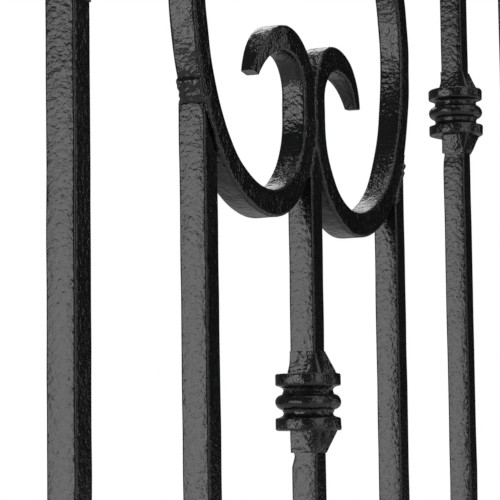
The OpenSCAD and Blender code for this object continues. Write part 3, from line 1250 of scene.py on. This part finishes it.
@dataclass
class Welds:
    """Rows of small overlapping lens-shaped beads, as left along a joint by arc welding.

    A bead's size at each place is its radius; its inset is how far its middle lies inside the
    face of the bar that it is laid along.
    """

    heart: Heart
    bow: Bow
    finishes: Finishes
    pitch: float = 1.5 * MM
    grain: float = 0.42 * MM
    flatness: float = 0.75
    swell: float = 0.4
    swell_size: float = 2.3 * MM
    waves: float = 3 * MM
    wander: float = 0.7 * MM
    steps: int = 4
    shoulder_bead: float = 1.5 * MM
    shoulder_inset: float = 0.3 * MM
    shoulder_steps: int = 5
    crown_rows: int = 5
    crown_start: float = 0.4 * MM
    crown_pitch: float = 1.9 * MM
    crown_rise: float = 0.7 * MM
    crown_fall: float = 0.1 * MM
    crown_bead: float = 1.75 * MM
    crown_inset: float = 1.6 * MM
    vee_start: float = math.pi + 0.29
    vee_turn: float = 0.28
    vee_bead: float = 1.3 * MM
    inset: float = 0.4 * MM
    seam: float = 13 * MM
    seam_bead: float = 1.7 * MM
    seam_inset: float = 0.5 * MM
    point_bead: float = 1.5 * MM
    head_bead: float = 1.7 * MM
    foot_bead: float = 1.5 * MM
    rail_bead: float = 1.8 * MM
    rail_inset: float = 2 * MM
    bow_weld: float = 12 * MM

    def build(self) -> None:
        """Lays every bead of the leaf."""
        self.heart_beads()
        self.end_beads()
        self.frame_beads()

    def bead(
        self, bm: bmesh.types.BMesh, path: Sequence[Vector], radius: float, seed: float
    ) -> None:
        """Lays one bead along straight stretches between points.

        Args:
            bm: The mesh that it is added to.
            path: The points, from end to end.
            radius: The bead's radius.
            seed: Its own unevenness.
        """
        shape = Matrix.Diagonal((self.flatness, 1.0, 1.0, 1.0))
        for start, end in zip(path, path[1:]):
            run = end - start
            count = max(1, round(run.length / self.pitch))
            along = run.to_track_quat("X", "Z").to_matrix().to_4x4()
            for number in range(count + 1):
                place = start.lerp(end, number / count)
                own = noise.noise(place / self.swell_size + Vector((seed, 0, 0)))
                middle = place + wrinkle(place, self.waves, self.wander, seed)
                bmesh.ops.create_icosphere(
                    bm,
                    subdivisions=2,
                    radius=radius * (1 + self.swell * own),
                    matrix=moved(middle) @ along @ shape,
                )

    def finish_beads(self, bm: bmesh.types.BMesh, name: str) -> None:
        """Dresses a mesh of beads and melts them together."""
        made = piece(bm, name, self.finishes.weld, Body.LEAF, (), crease=180)
        melted = made.modifiers.new("melted", "REMESH")
        melted.mode = "VOXEL"
        melted.voxel_size = self.grain
        melted.use_smooth_shade = True
        eased = made.modifiers.new("eased", "SMOOTH")
        eased.factor = 0.5
        eased.iterations = 2

    def on_outline(self, centre: Vector, radius: float, angle: float, side: int, y: float) -> Vector:
        """Gives a place on a bend of the heart's outer edge, by its angle."""
        heart = self.heart
        across = centre.x + radius * math.cos(angle)
        up = centre.y + radius * math.sin(angle)
        return Vector((heart.middle + side * across, y, heart.bottom + up))

    def heart_beads(self) -> None:
        """Welds the scrolls to the bars beside them, to the vee and to each other."""
        bm = bmesh.new()
        for side, node in ((-1, "lower_bar_3"), (1, "lower_bar_5")):
            self.shoulder_beads(bm, side, node)
        heart = self.heart
        vee_low, vee_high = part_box("lower_bar_4")
        for side in (-1, 1):
            for y in (vee_low.y + self.inset, vee_high.y - self.inset):
                turns = [self.vee_start + self.vee_turn * i / self.steps for i in range(self.steps + 1)]
                path = [self.on_outline(heart.toe_centre, heart.toe, a, side, y) for a in turns]
                self.bead(bm, path, self.vee_bead, 9 + side)
        for y in (heart.front + self.seam_inset, heart.back - self.seam_inset):
            foot = Vector((heart.middle, y, vee_high.z))
            self.bead(bm, [foot, foot + Vector((0, 0, self.seam))], self.seam_bead, 3 + y)
        for node in ("upper_bar_3", "upper_bar_4", "upper_bar_5"):
            low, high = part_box(node)
            for y in (low.y + self.inset, high.y - self.inset):
                path = []
                for i in range(self.steps + 1):
                    x = low.x + (high.x - low.x) * i / self.steps
                    aside = abs(x - heart.middle)
                    path.append(Vector((x, y, heart.over(heart.point_centre, heart.point, aside))))
                self.bead(bm, path, self.point_bead, 7 + low.x)
        self.finish_beads(bm, "weld_beads_heart")

    def shoulder_beads(self, bm: bmesh.types.BMesh, side: int, node: str) -> None:
        """Welds a scroll's shoulder to the head of the bar under it, with a crown of short rows.

        Args:
            bm: The mesh that the beads are added to.
            side: -1 for the left scroll, 1 for the right.
            node: The bar's CAD node.
        """
        heart = self.heart
        low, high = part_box(node)
        outer = abs((low.x if side < 0 else high.x) - heart.middle)
        inner = outer - (high.x - low.x)
        centre, radius = heart.shoulder_centre, heart.shoulder
        start, end = [-math.acos((a - centre.x) / radius) for a in (outer, inner)]
        for y in (low.y + self.shoulder_inset, high.y - self.shoulder_inset):
            chords = self.shoulder_steps
            turns = [start + (end - start) * i / chords for i in range(chords + 1)]
            path = [self.on_outline(centre, radius, turn, side, y) for turn in turns]
            self.bead(bm, path, self.shoulder_bead, side + y)
        for row in range(self.crown_rows):
            turn = start + (self.crown_start + self.crown_pitch * row) / radius
            reach = radius + self.crown_rise - self.crown_fall * row
            ends = (low.y + self.crown_inset, high.y - self.crown_inset)
            crown = [self.on_outline(centre, reach, turn, side, y) for y in ends]
            self.bead(bm, crown, self.crown_bead, 5 * row + side)

    def end_beads(self) -> None:
        """Welds the bars' heads to the bow and their feet in the punched rail."""
        bm = bmesh.new()
        whole = ("bar_1", "bar_2", "bar_6", "bar_7")
        for node in (*whole, "upper_bar_3", "upper_bar_4", "upper_bar_5"):
            low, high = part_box(node)
            for y in (low.y, high.y):
                path = [Vector((x, y, self.bow.under(x))) for x in (low.x, high.x)]
                self.bead(bm, path, self.head_bead, low.x)
        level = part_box("bottom_rail")[1].z
        for node in (*whole, "lower_bar_3", "lower_bar_4", "lower_bar_5"):
            low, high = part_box(node)
            corners = [(low.x, low.y), (high.x, low.y), (high.x, high.y), (low.x, high.y), (low.x, low.y)]
            self.bead(bm, [Vector((x, y, level)) for x, y in corners], self.foot_bead, low.x)
        self.finish_beads(bm, "weld_beads_bars")

    def frame_beads(self) -> None:
        """Welds the rails to the stiles."""
        bm = bmesh.new()
        low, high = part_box("bottom_rail")
        self.rail_beads(bm, low, high, [(x, z) for x in (low.x, high.x) for z in (low.z, high.z)])
        low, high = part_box("top_rail")
        levels = [(x, self.bow.under(x)) for x in self.bow.ends]
        self.rail_beads(bm, low, high, [(x, z + up) for x, z in levels for up in (0, self.bow_weld)])
        self.finish_beads(bm, "weld_beads_frame")

    def rail_beads(
        self, bm: bmesh.types.BMesh, low: Vector, high: Vector, places: Sequence[tuple[float, float]]
    ) -> None:
        """Lays beads across a rail's depth.

        Args:
            bm: The mesh that they are added to.
            low: The rail's lowest corner.
            high: Its highest corner.
            places: Where each bead lies, across and up.
        """
        for x, z in places:
            ends = [Vector((x, y, z)) for y in (low.y + self.rail_inset, high.y - self.rail_inset)]
            self.bead(bm, ends, self.rail_bead, x)


# -------------------------------------------------------------------------------- frame


@dataclass
class LeafFrame:
    """The stiles, the bottom rail, the bow and the ball finials."""

    bow: Bow
    finishes: Finishes
    edge: float = 1.4 * MM
    ring: float = 12 * MM
    least_edge: float = 100 * MM
    waves: float = 40 * MM
    unevenness: float = 0.16 * MM
    bow_unevenness: float = 0.15 * MM
    bow_steps: int = 110
    bow_spare: float = math.radians(1.5)
    collar: float = 12.3 * MM
    neck: float = 7.2 * MM
    ball_neck: float = 8.6 * MM
    ball_waves: float = 12 * MM
    ball_unevenness: float = 0.15 * MM

    def build(self) -> None:
        """Builds the frame of the leaf."""
        for seed, node in enumerate(("hanging_stile", "latch_stile")):
            self.straight(node, 2, seed)
        self.straight("bottom_rail", 0, 3)
        self.top_rail()
        for node in ("finial_hanging", "finial_latch"):
            self.finial(node)

    def straight(self, node: str, axis: int, seed: int) -> None:
        """Makes a straight bar of the frame.

        Args:
            node: The CAD node.
            axis: The axis that it lies along.
            seed: Its own unevenness.
        """
        low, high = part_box(node)
        bm = box_mesh(low, high)
        round_edges(bm, long_edges(bm, axis, self.least_edge), self.edge)
        cuts = round((high[axis] - low[axis]) / self.ring)
        bmesh.ops.subdivide_edges(bm, edges=long_edges(bm, axis, self.least_edge), cuts=cuts)
        roughen(bm, self.waves, self.unevenness, seed)
        piece(bm, f"painted_{node}", self.finishes.bar, Body.LEAF, [node], crease=50)

    def top_rail(self) -> None:
        """Bends the flat rail of the bow between the stiles."""
        low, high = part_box("top_rail")
        bow = self.bow
        bm = bmesh.new()
        bmesh.ops.create_grid(bm, x_segments=1, y_segments=1, size=0.5)
        bmesh.ops.scale(bm, vec=(bow.rail, high.y - low.y, 1.0), verts=bm.verts)
        round_corners(bm, self.edge, segments=3)
        half = math.asin((high.x - low.x) / 2 / bow.radius) + self.bow_spare
        centre = (bow.middle, (low.y + high.y) / 2, bow.crown - bow.radius)
        place = (
            moved(centre)
            @ Matrix.Rotation(-(math.pi / 2 + half), 4, "Y")
            @ moved((bow.radius + bow.rail / 2, 0, 0))
        )
        bmesh.ops.transform(bm, matrix=place, verts=bm.verts)
        sweep(bm, bm.verts[:] + bm.edges[:], centre, (0, 1, 0), 2 * half, self.bow_steps)
        cut_across(bm, low.x, -1)
        cut_across(bm, high.x, 1)
        cap_open_ends(bm)
        roughen(bm, self.waves, self.bow_unevenness, seed=5)
        piece(bm, "painted_top_rail", self.finishes.bar, Body.LEAF, ["top_rail"], crease=50)

    def finial(self, node: str) -> None:
        """Turns a ball finial on its collar.

        Args:
            node: The CAD node.
        """
        low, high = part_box(node)
        centre = (low + high) / 2
        ball = (high.x - low.x) / 2
        collar = (
            (self.collar - 0.6 * MM, 0.0),
            (self.collar, 0.8 * MM),
            (self.collar, 4.2 * MM),
            (self.collar - 1.2 * MM, 5.8 * MM),
            (self.ball_neck, 6.4 * MM),
            (self.neck, 8.5 * MM),
            (self.neck, 11.0 * MM),
        )
        outline = [(0, low.z)] + [(radius, low.z + height) for radius, height in collar]
        bm = lathe(outline + ball_outline(ball, high.z - ball, self.ball_neck), steps=56)
        bmesh.ops.translate(bm, vec=(centre.x, centre.y, 0), verts=bm.verts)
        roughen(bm, self.ball_waves, self.ball_unevenness, centre.x)
        piece(bm, f"turned_{node}", self.finishes.forged, Body.LEAF, [node], crease=40)


# ------------------------------------------------------------------------------- hinges


@dataclass
class HexNut:
    """A nut with chamfered corners, standing on height 0, with flats facing Y."""

    width: float
    thick: float
    bore: float
    bore_rim: float = 0.3 * MM
    side: float = 1.0 * MM
    face_share: float = 0.97
    flat_share: float = 1.1
    corner_share: float = 1.3
    chamfer: float = math.radians(30)
    side_turn: float = 60.0

    def mesh(self) -> bmesh.types.BMesh:
        """Makes the nut.

        Returns:
            The nut's mesh.
        """
        flat = self.width / 2
        face = flat * self.face_share
        corner = flat * self.corner_share
        rim = self.bore_rim
        outline = [(self.bore, rim), (self.bore + rim, 0.0), (face, 0.0)]
        outline += [(corner, self.side), (corner, self.thick - self.side)]
        outline += [(face, self.thick), (self.bore + rim, self.thick), (self.bore, self.thick - rim)]
        bm = lathe(outline, steps=60, closed=True)
        for vert in bm.verts:
            radius = math.hypot(vert.co.x, vert.co.y)
            if radius < flat * self.flat_share:
                continue
            turn = math.degrees(math.atan2(vert.co.y, vert.co.x)) % self.side_turn
            reach = flat / math.cos(math.radians(turn - self.side_turn / 2))
            drop = (reach - face) * math.tan(self.chamfer)
            vert.co.x *= reach / radius
            vert.co.y *= reach / radius
            vert.co.z = drop if vert.co.z < self.thick / 2 else self.thick - drop
        return bm


@dataclass
class Hinges:
    """The bolt-on plates with their pins, the eye bolts, and the nuts and washers on them."""

    finishes: Finishes
    edge: float = 0.8 * MM
    pin_tip: float = 1.5 * MM
    pin_rim: float = 0.25 * MM
    eye_play: float = 0.05 * MM
    eye_bore_rim: float = 0.35 * MM
    eye_rim: float = 1.0 * MM
    in_eye: float = 1.4 * MM
    pitch: float = 1.75 * MM
    core: float = 5.05 * MM
    crest: float = 5.98 * MM
    crest_share: tuple[float, float] = (0.44, 0.56)
    turn_steps: int = 28
    same_thread: float = 0.02 * MM
    shank_tip: float = 0.4 * MM
    thrust_bore: float = 8.2 * MM
    washer_bore: float = 6.05 * MM
    washer_bore_rim: float = 0.2 * MM
    washer_rim: float = 0.4 * MM
    nut_bore: float = 6.02 * MM

    def build(self) -> None:
        """Builds both hinges."""
        for way in ("lower", "upper"):
            self.plate(f"{way}_hinge_plate")
            self.pin(f"{way}_hinge_pin")
            self.eye_bolt(f"{way}_eye_bolt")
        self.thrust_washer()
        self.nuts_and_washers()

    def plate(self, node: str) -> None:
        """Rounds the edges of a hinge plate and its arm."""
        bm = softened_copy(node, self.edge)
        piece(bm, f"painted_{node}", self.finishes.plate, Body.POSTS, [node])

    def pin(self, node: str) -> None:
        """Turns a hinge pin, chamfered at the end that the eye goes on by.

        Args:
            node: The CAD node.
        """
        low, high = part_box(node)
        centre = (low + high) / 2
        radius = (high.x - low.x) / 2
        length = high.z - low.z
        tip = self.pin_tip
        rim = self.pin_rim
        outline = [(0, 0), (radius - rim, 0), (radius, rim), (radius, length - tip - rim)]
        outline += [(radius - 0.4 * rim, length - tip), (radius - tip, length - 0.3 * rim)]
        outline += [(radius - tip - rim, length), (0, length)]
        bm = lathe(outline)
        if node.startswith("upper"):
            set_at(bm, (0, 0, length), 180, "X")
        set_at(bm, (centre.x, centre.y, low.z))
        piece(bm, f"turned_{node}", self.finishes.zinc, Body.POSTS, [node])

    def eye_bolt(self, node: str) -> None:
        """Makes an eye bolt: a turned eye and a shank with a rolled thread.

        Args:
            node: The CAD node.
        """
        low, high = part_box(node)
        pin_low, pin_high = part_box("lower_hinge_pin")
        axis = (pin_low + pin_high) / 2
        outer = (high.y - low.y) / 2
        bore = (pin_high.x - pin_low.x) / 2 + self.eye_play
        hoop = hoop_outline(bore, outer, high.z - low.z, self.eye_bore_rim, self.eye_rim)
        eye = set_at(lathe(hoop, steps=64, closed=True), (axis.x, axis.y, low.z))
        middle = Vector((0, axis.y, (low.z + high.z) / 2))
        shank = self.shank(axis.x + outer - self.in_eye, high.x, middle)
        joined = joined_meshes([eye, shank])
        piece(joined, f"forged_{node}", self.finishes.zinc, Body.LEAF, [node])

    def shank(self, start: float, end: float, axis: Vector) -> bmesh.types.BMesh:
        """Rolls a thread from one place to another along X.

        Args:
            start: Where the shank begins, inside the eye's wall.
            end: Where its chamfered tip ends.
            axis: A point of its axis.

        Returns:
            The shank's mesh.
        """
        turns = math.ceil((end - start) / self.pitch) + 2
        bm = bmesh.new()
        up, down = self.crest_share
        outline = ((self.core, 0.0), (self.crest, up), (self.crest, down), (self.core, 1.0))
        places = [(start + (share - 1) * self.pitch, 0.0, radius) for radius, share in outline]
        sweep(
            bm,
            drawn_line(bm, places),
            (0, 0, 0),
            (1, 0, 0),
            2 * math.pi * turns,
            self.turn_steps * turns,
            advance=self.pitch / self.turn_steps,
        )
        bmesh.ops.remove_doubles(bm, verts=bm.verts, dist=self.same_thread)
        cut_across(bm, start, -1)
        cut_across(bm, end, 1)
        for vert in bm.verts:
            reach = math.hypot(vert.co.y, vert.co.z)
            most = self.core + max(0.0, end - vert.co.x) - self.shank_tip
            if reach > most:
                vert.co.y *= most / reach
                vert.co.z *= most / reach
        cap_open_ends(bm)
        bmesh.ops.translate(bm, vec=axis, verts=bm.verts)
        return bm

    def washer(self, bore: float, outer: float, thick: float, steps: int) -> bmesh.types.BMesh:
        """Turns a washer, standing on height 0, with this bore's radius and outer radius."""
        outline = hoop_outline(bore, outer, thick, self.washer_bore_rim, self.washer_rim)
        return lathe(outline, steps, closed=True)

    def thrust_washer(self) -> None:
        """Turns the washer that the lower eye rests on."""
        node = "hinge_thrust_washer"
        low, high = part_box(node)
        centre = (low + high) / 2
        bm = self.washer(self.thrust_bore, (high.x - low.x) / 2, high.z - low.z, steps=56)
        set_at(bm, (centre.x, centre.y, low.z))
        piece(bm, "turned_thrust_washer", self.finishes.zinc, Body.POSTS, [node])

    def nuts_and_washers(self) -> None:
        """Puts a washer and a nut on both sides of the hanging stile, at both eye bolts."""
        stile_low, stile_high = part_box("hanging_stile")
        nuts_low, nuts_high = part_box("hinge_nuts")
        rings_low, rings_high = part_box("hinge_washers")
        ring = rings_high.x - stile_high.x
        outer = (rings_high.y - rings_low.y) / 2
        nut = HexNut(nuts_high.y - nuts_low.y, nuts_high.x - rings_high.x, self.nut_bore)
        nuts = []
        washers = []
        for way in ("lower", "upper"):
            low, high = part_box(f"{way}_eye_bolt")
            axis = (low + high) / 2
            for x, side in ((stile_low.x, -1), (stile_high.x, 1)):
                washer = self.washer(self.washer_bore, outer, ring, steps=48)
                washers.append(set_at(washer, (x, axis.y, axis.z), 90 * side, "Y"))
                nuts.append(set_at(nut.mesh(), (x + side * ring, axis.y, axis.z), 90 * side, "Y"))
        plated = ((nuts, "plated_nuts", "hinge_nuts", 25), (washers, "plated_washers", "hinge_washers", 35))
        for meshes, name, node, crease in plated:
            joined = joined_meshes(meshes)
            piece(joined, name, self.finishes.zinc, Body.LEAF, [node], crease)


# -------------------------------------------------------------------------------- latch


@dataclass
class Latch:
    """The slide bolt with its knob, its guides and their back plate."""

    finishes: Finishes
    edge: float = 0.7 * MM
    nose: float = 2.0 * MM
    tail: float = 1.2 * MM
    ease: float = 0.1 * MM
    stem: float = 5.0 * MM
    stem_neck: float = 6.2 * MM
    fillet: tuple[tuple[float, float], ...] = ((0.0, 1.4 * MM), (0.35 * MM, 0.5 * MM))

    def build(self) -> None:
        """Builds the latch."""
        node = "latch_back_plate"
        bm = box_mesh(*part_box(node))
        round_edges(bm, bm.edges[:], self.edge)
        piece(bm, f"painted_{node}", self.finishes.plate, Body.LEAF, [node])
        for place in ("inner", "middle", "outer"):
            node = f"latch_guide_{place}"
            bm = softened_copy(node, self.edge)
            piece(bm, f"painted_{node}", self.finishes.plate, Body.LEAF, [node])
        self.bolt()
        self.knob()

    def bolt(self) -> None:
        """Turns the slide bolt, chamfered at its nose and rounded at its tail."""
        node = "slide_bolt"
        low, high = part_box(node)
        axis = (low + high) / 2
        radius = (high.y - low.y) / 2
        length = high.x - low.x
        nose = self.nose
        ease = self.ease
        outline = [(0, 0), (radius - self.tail, 0)]
        outline += arc((radius - self.tail, self.tail), self.tail, -70, 0, 4)
        outline += [(radius, length - nose - 3 * ease), (radius - ease, length - nose)]
        outline += [(radius - nose, length - ease), (radius - nose - 3 * ease, length), (0, length)]
        bm = set_at(lathe(outline), (low.x, axis.y, axis.z), 90, "Y")
        piece(bm, f"drawn_{node}", self.finishes.zinc, Body.BOLT, [node])

    def knob(self) -> None:
        """Turns the knob with its stem, filleted into the ball."""
        node = "bolt_knob"
        low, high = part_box(node)
        axis = (low + high) / 2
        ball = (high.x - low.x) / 2
        round_part = ball_outline(ball, high.y - low.y - ball, self.stem_neck)
        level = round_part[0][1]
        outline = [(0, 0), (self.stem, 0)]
        outline += [(self.stem + out, level - down) for out, down in self.fillet]
        bm = set_at(lathe(outline + round_part), (axis.x, low.y, axis.z), -90, "X")
        piece(bm, f"turned_{node}", self.finishes.forged, Body.BOLT, [node])


@dataclass
class Keep:
    """The keep on the latch post: its plate, the socket for the bolt and the leaf's stop."""

    finishes: Finishes
    edge: float = 0.8 * MM
    wall: float = 6.0 * MM
    mouth_rim: float = 0.9 * MM
    rim: float = 0.8 * MM

    def build(self) -> None:
        """Builds the keep."""
        node = "keep_plate"
        bm = softened_copy(node, self.edge)
        piece(bm, f"painted_{node}", self.finishes.plate, Body.POSTS, [node])
        node = "keep_stop"
        bm = box_mesh(*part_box(node))
        round_edges(bm, bm.edges[:], self.edge)
        piece(bm, f"painted_{node}", self.finishes.plate, Body.POSTS, [node])
        self.socket()

    def socket(self) -> None:
        """Turns the socket that takes the bolt."""
        node = "keep_socket"
        low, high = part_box(node)
        axis = (low + high) / 2
        outer = (high.y - low.y) / 2
        outline = hoop_outline(outer - self.wall, outer, high.x - low.x, self.mouth_rim, self.rim)
        bm = set_at(lathe(outline, steps=56, closed=True), (low.x, axis.y, axis.z), 90, "Y")
        piece(bm, f"painted_{node}", self.finishes.plate, Body.POSTS, [node])


# ------------------------------------------------------------------------------- studio


@dataclass(frozen=True)
class SoftBox:
    """A soft box, placed by its direction and distance from the heart's bottom."""

    name: str
    toward: tuple[float, float, float]
    away: float
    size: tuple[float, float]
    radiance: float
    spread: float = math.pi


@dataclass
class Studio:
    """The pale floor, the soft lights and the camera.

    A large soft box behind the leaf on its hinge side gives the bars' near faces their sheen.
    Those in front draw the thin bright line on the rounded corners, and the high one on the
    garden side fills the bends of the scrolls. A skylight in the dim room evens out the floor.
    The room is darkest past the latch post, so that the street faces stay deep black.
    """

    heart: Heart
    room: float = 0.11
    skylight: float = 2.6
    skylight_edge: tuple[float, float] = (0.93, 0.97)
    dark: float = 0.015
    dark_side: tuple[float, float, float] = (0.90, -0.42, 0.05)
    dark_edge: tuple[float, float] = (0.75, 0.97)
    boxes: tuple[SoftBox, ...] = (
        SoftBox("hinge_side", (-0.91, 0.42, 0.0), 2.4, (2.2, 1.25), 1.26, math.radians(110)),
        SoftBox("street_high", (0.0, -0.7, 0.75), 3.2, (2.6, 2.0), 1.1),
        SoftBox("street_side", (-0.45, -0.89, 0.15), 2.5, (1.5, 1.9), 1.5),
        SoftBox("post_side", (0.62, -0.78, 0.08), 2.4, (0.5, 1.6), 1.3),
        SoftBox("garden_high", (0.66, 0.42, 0.62), 2.5, (1.2, 1.0), 2.3),
    )
    clearance: float = 40 * MM
    floor_reach: float = 6.0
    eye_below_heart: float = 95.6 * MM
    back_off: float = 352.7 * MM
    left_off: float = 833.9 * MM
    yaw: float = math.radians(65.476)
    pitch: float = math.radians(5.425)
    roll: float = math.radians(-0.717)
    lens: float = 144.85
    sensor: float = 36.0
    nearest: float = 0.05

    def build(self) -> None:
        """Builds the studio."""
        self.floor()
        self.world()
        for box in self.boxes:
            self.soft_box(box)
        self.camera()

    def floor(self) -> None:
        """Lays the floor under the leaf."""
        bm = bmesh.new()
        bmesh.ops.create_grid(bm, x_segments=1, y_segments=1, size=self.floor_reach)
        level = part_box("hanging_stile")[0].z - self.clearance
        bmesh.ops.translate(bm, vec=(self.heart.middle, 0, level), verts=bm.verts)
        mesh = bpy.data.meshes.new("studio_floor")
        bm.to_mesh(mesh)
        bm.free()
        mesh.materials.append(Plain("matt_white_board", "#f2f2f1", "#ececeb").material())
        floor = bpy.data.objects.new("studio_floor", mesh)
        bpy.context.scene.collection.objects.link(floor)

    def world(self) -> None:
        """Makes the backdrop white to the camera, and a dim grey room with one dark side."""
        world = bpy.data.worlds.new("studio")
        bpy.context.scene.world = world
        world.use_nodes = True
        world.node_tree.nodes.clear()
        tree = Shading(world.node_tree)
        way = tree.add("ShaderNodeTexCoord").outputs["Generated"]
        near = tree.add("ShaderNodeVectorMath", {"operation": "DOT_PRODUCT"}, {0: way})
        near.inputs[1].default_value = Vector(self.dark_side).normalized()
        room = tree.mapped(near.outputs["Value"], self.dark_edge, (self.room, self.dark), smooth=True)
        height = tree.add("ShaderNodeSeparateXYZ", {}, {"Vector": way}).outputs["Z"]
        skylight = tree.mapped(height, self.skylight_edge, (0.0, self.skylight))
        total = tree.add("ShaderNodeMath", {"operation": "ADD"}, {0: room, 1: skylight})
        cast = tree.add("ShaderNodeBackground", {"Color": WHITE}, {"Strength": total.outputs["Value"]})
        seen = tree.add("ShaderNodeBackground", {"Color": WHITE, "Strength": 1.0})
        path = tree.add("ShaderNodeLightPath").outputs["Is Camera Ray"]
        links = {0: path, 1: cast.outputs[0], 2: seen.outputs[0]}
        both = tree.add("ShaderNodeMixShader", {}, links)
        tree.add("ShaderNodeOutputWorld", {}, {"Surface": both.outputs[0]})

    def soft_box(self, box: SoftBox) -> None:
        """Adds one area light, hidden from the camera itself.

        Args:
            box: The light's name, place, size and brightness.
        """
        middle = Vector((self.heart.middle, 0, self.heart.bottom))
        toward = Vector(box.toward).normalized()
        light = bpy.data.lights.new(box.name, "AREA")
        light.shape = "RECTANGLE"
        light.size, light.size_y = box.size
        light.energy = math.pi * box.size[0] * box.size[1] * box.radiance
        light.spread = box.spread
        lamp = bpy.data.objects.new(box.name, light)
        aim = (-toward).to_track_quat("-Z", "Y")
        lamp.matrix_world = moved(middle + toward * box.away) @ aim.to_matrix().to_4x4()
        lamp.visible_camera = False
        bpy.context.scene.collection.objects.link(lamp)

    def camera(self) -> None:
        """Sets the camera low on the street side, close to the leaf, looking along it."""
        ahead = math.cos(self.pitch)
        forward = Vector(
            (math.sin(self.yaw) * ahead, math.cos(self.yaw) * ahead, math.sin(self.pitch))
        )
        level = forward.cross(Vector((0, 0, 1))).normalized()
        upright = level.cross(forward)
        right = level * math.cos(self.roll) + upright * math.sin(self.roll)
        up = upright * math.cos(self.roll) - level * math.sin(self.roll)
        heart = self.heart
        place = (heart.middle - self.left_off, -self.back_off, heart.bottom - self.eye_below_heart)
        data = bpy.data.cameras.new("camera")
        data.lens = self.lens
        data.sensor_width = self.sensor
        data.clip_start = self.nearest
        camera = bpy.data.objects.new("camera", data)
        camera.matrix_world = moved(place) @ Matrix((right, up, -forward)).transposed().to_4x4()
        bpy.context.scene.collection.objects.link(camera)
        bpy.context.scene.camera = camera


def main() -> None:
    """Builds every sub-assembly in order."""
    logging.basicConfig(level=logging.INFO, format="%(message)s")
    bpy.context.scene.view_settings.view_transform = "Standard"
    noise.seed_set(NOISE_SEED)
    finishes = Finishes()
    heart = Heart()
    bow = Bow()
    HeartScrolls(heart, finishes).build()
    Uprights(heart, bow, finishes).build()
    Knuckles(finishes).build()
    Welds(heart, bow, finishes).build()
    LeafFrame(bow, finishes).build()
    Hinges(finishes).build()
    Latch(finishes).build()
    Keep(finishes).build()
    Studio(heart).build()


if __name__ == "__main__":
    main()
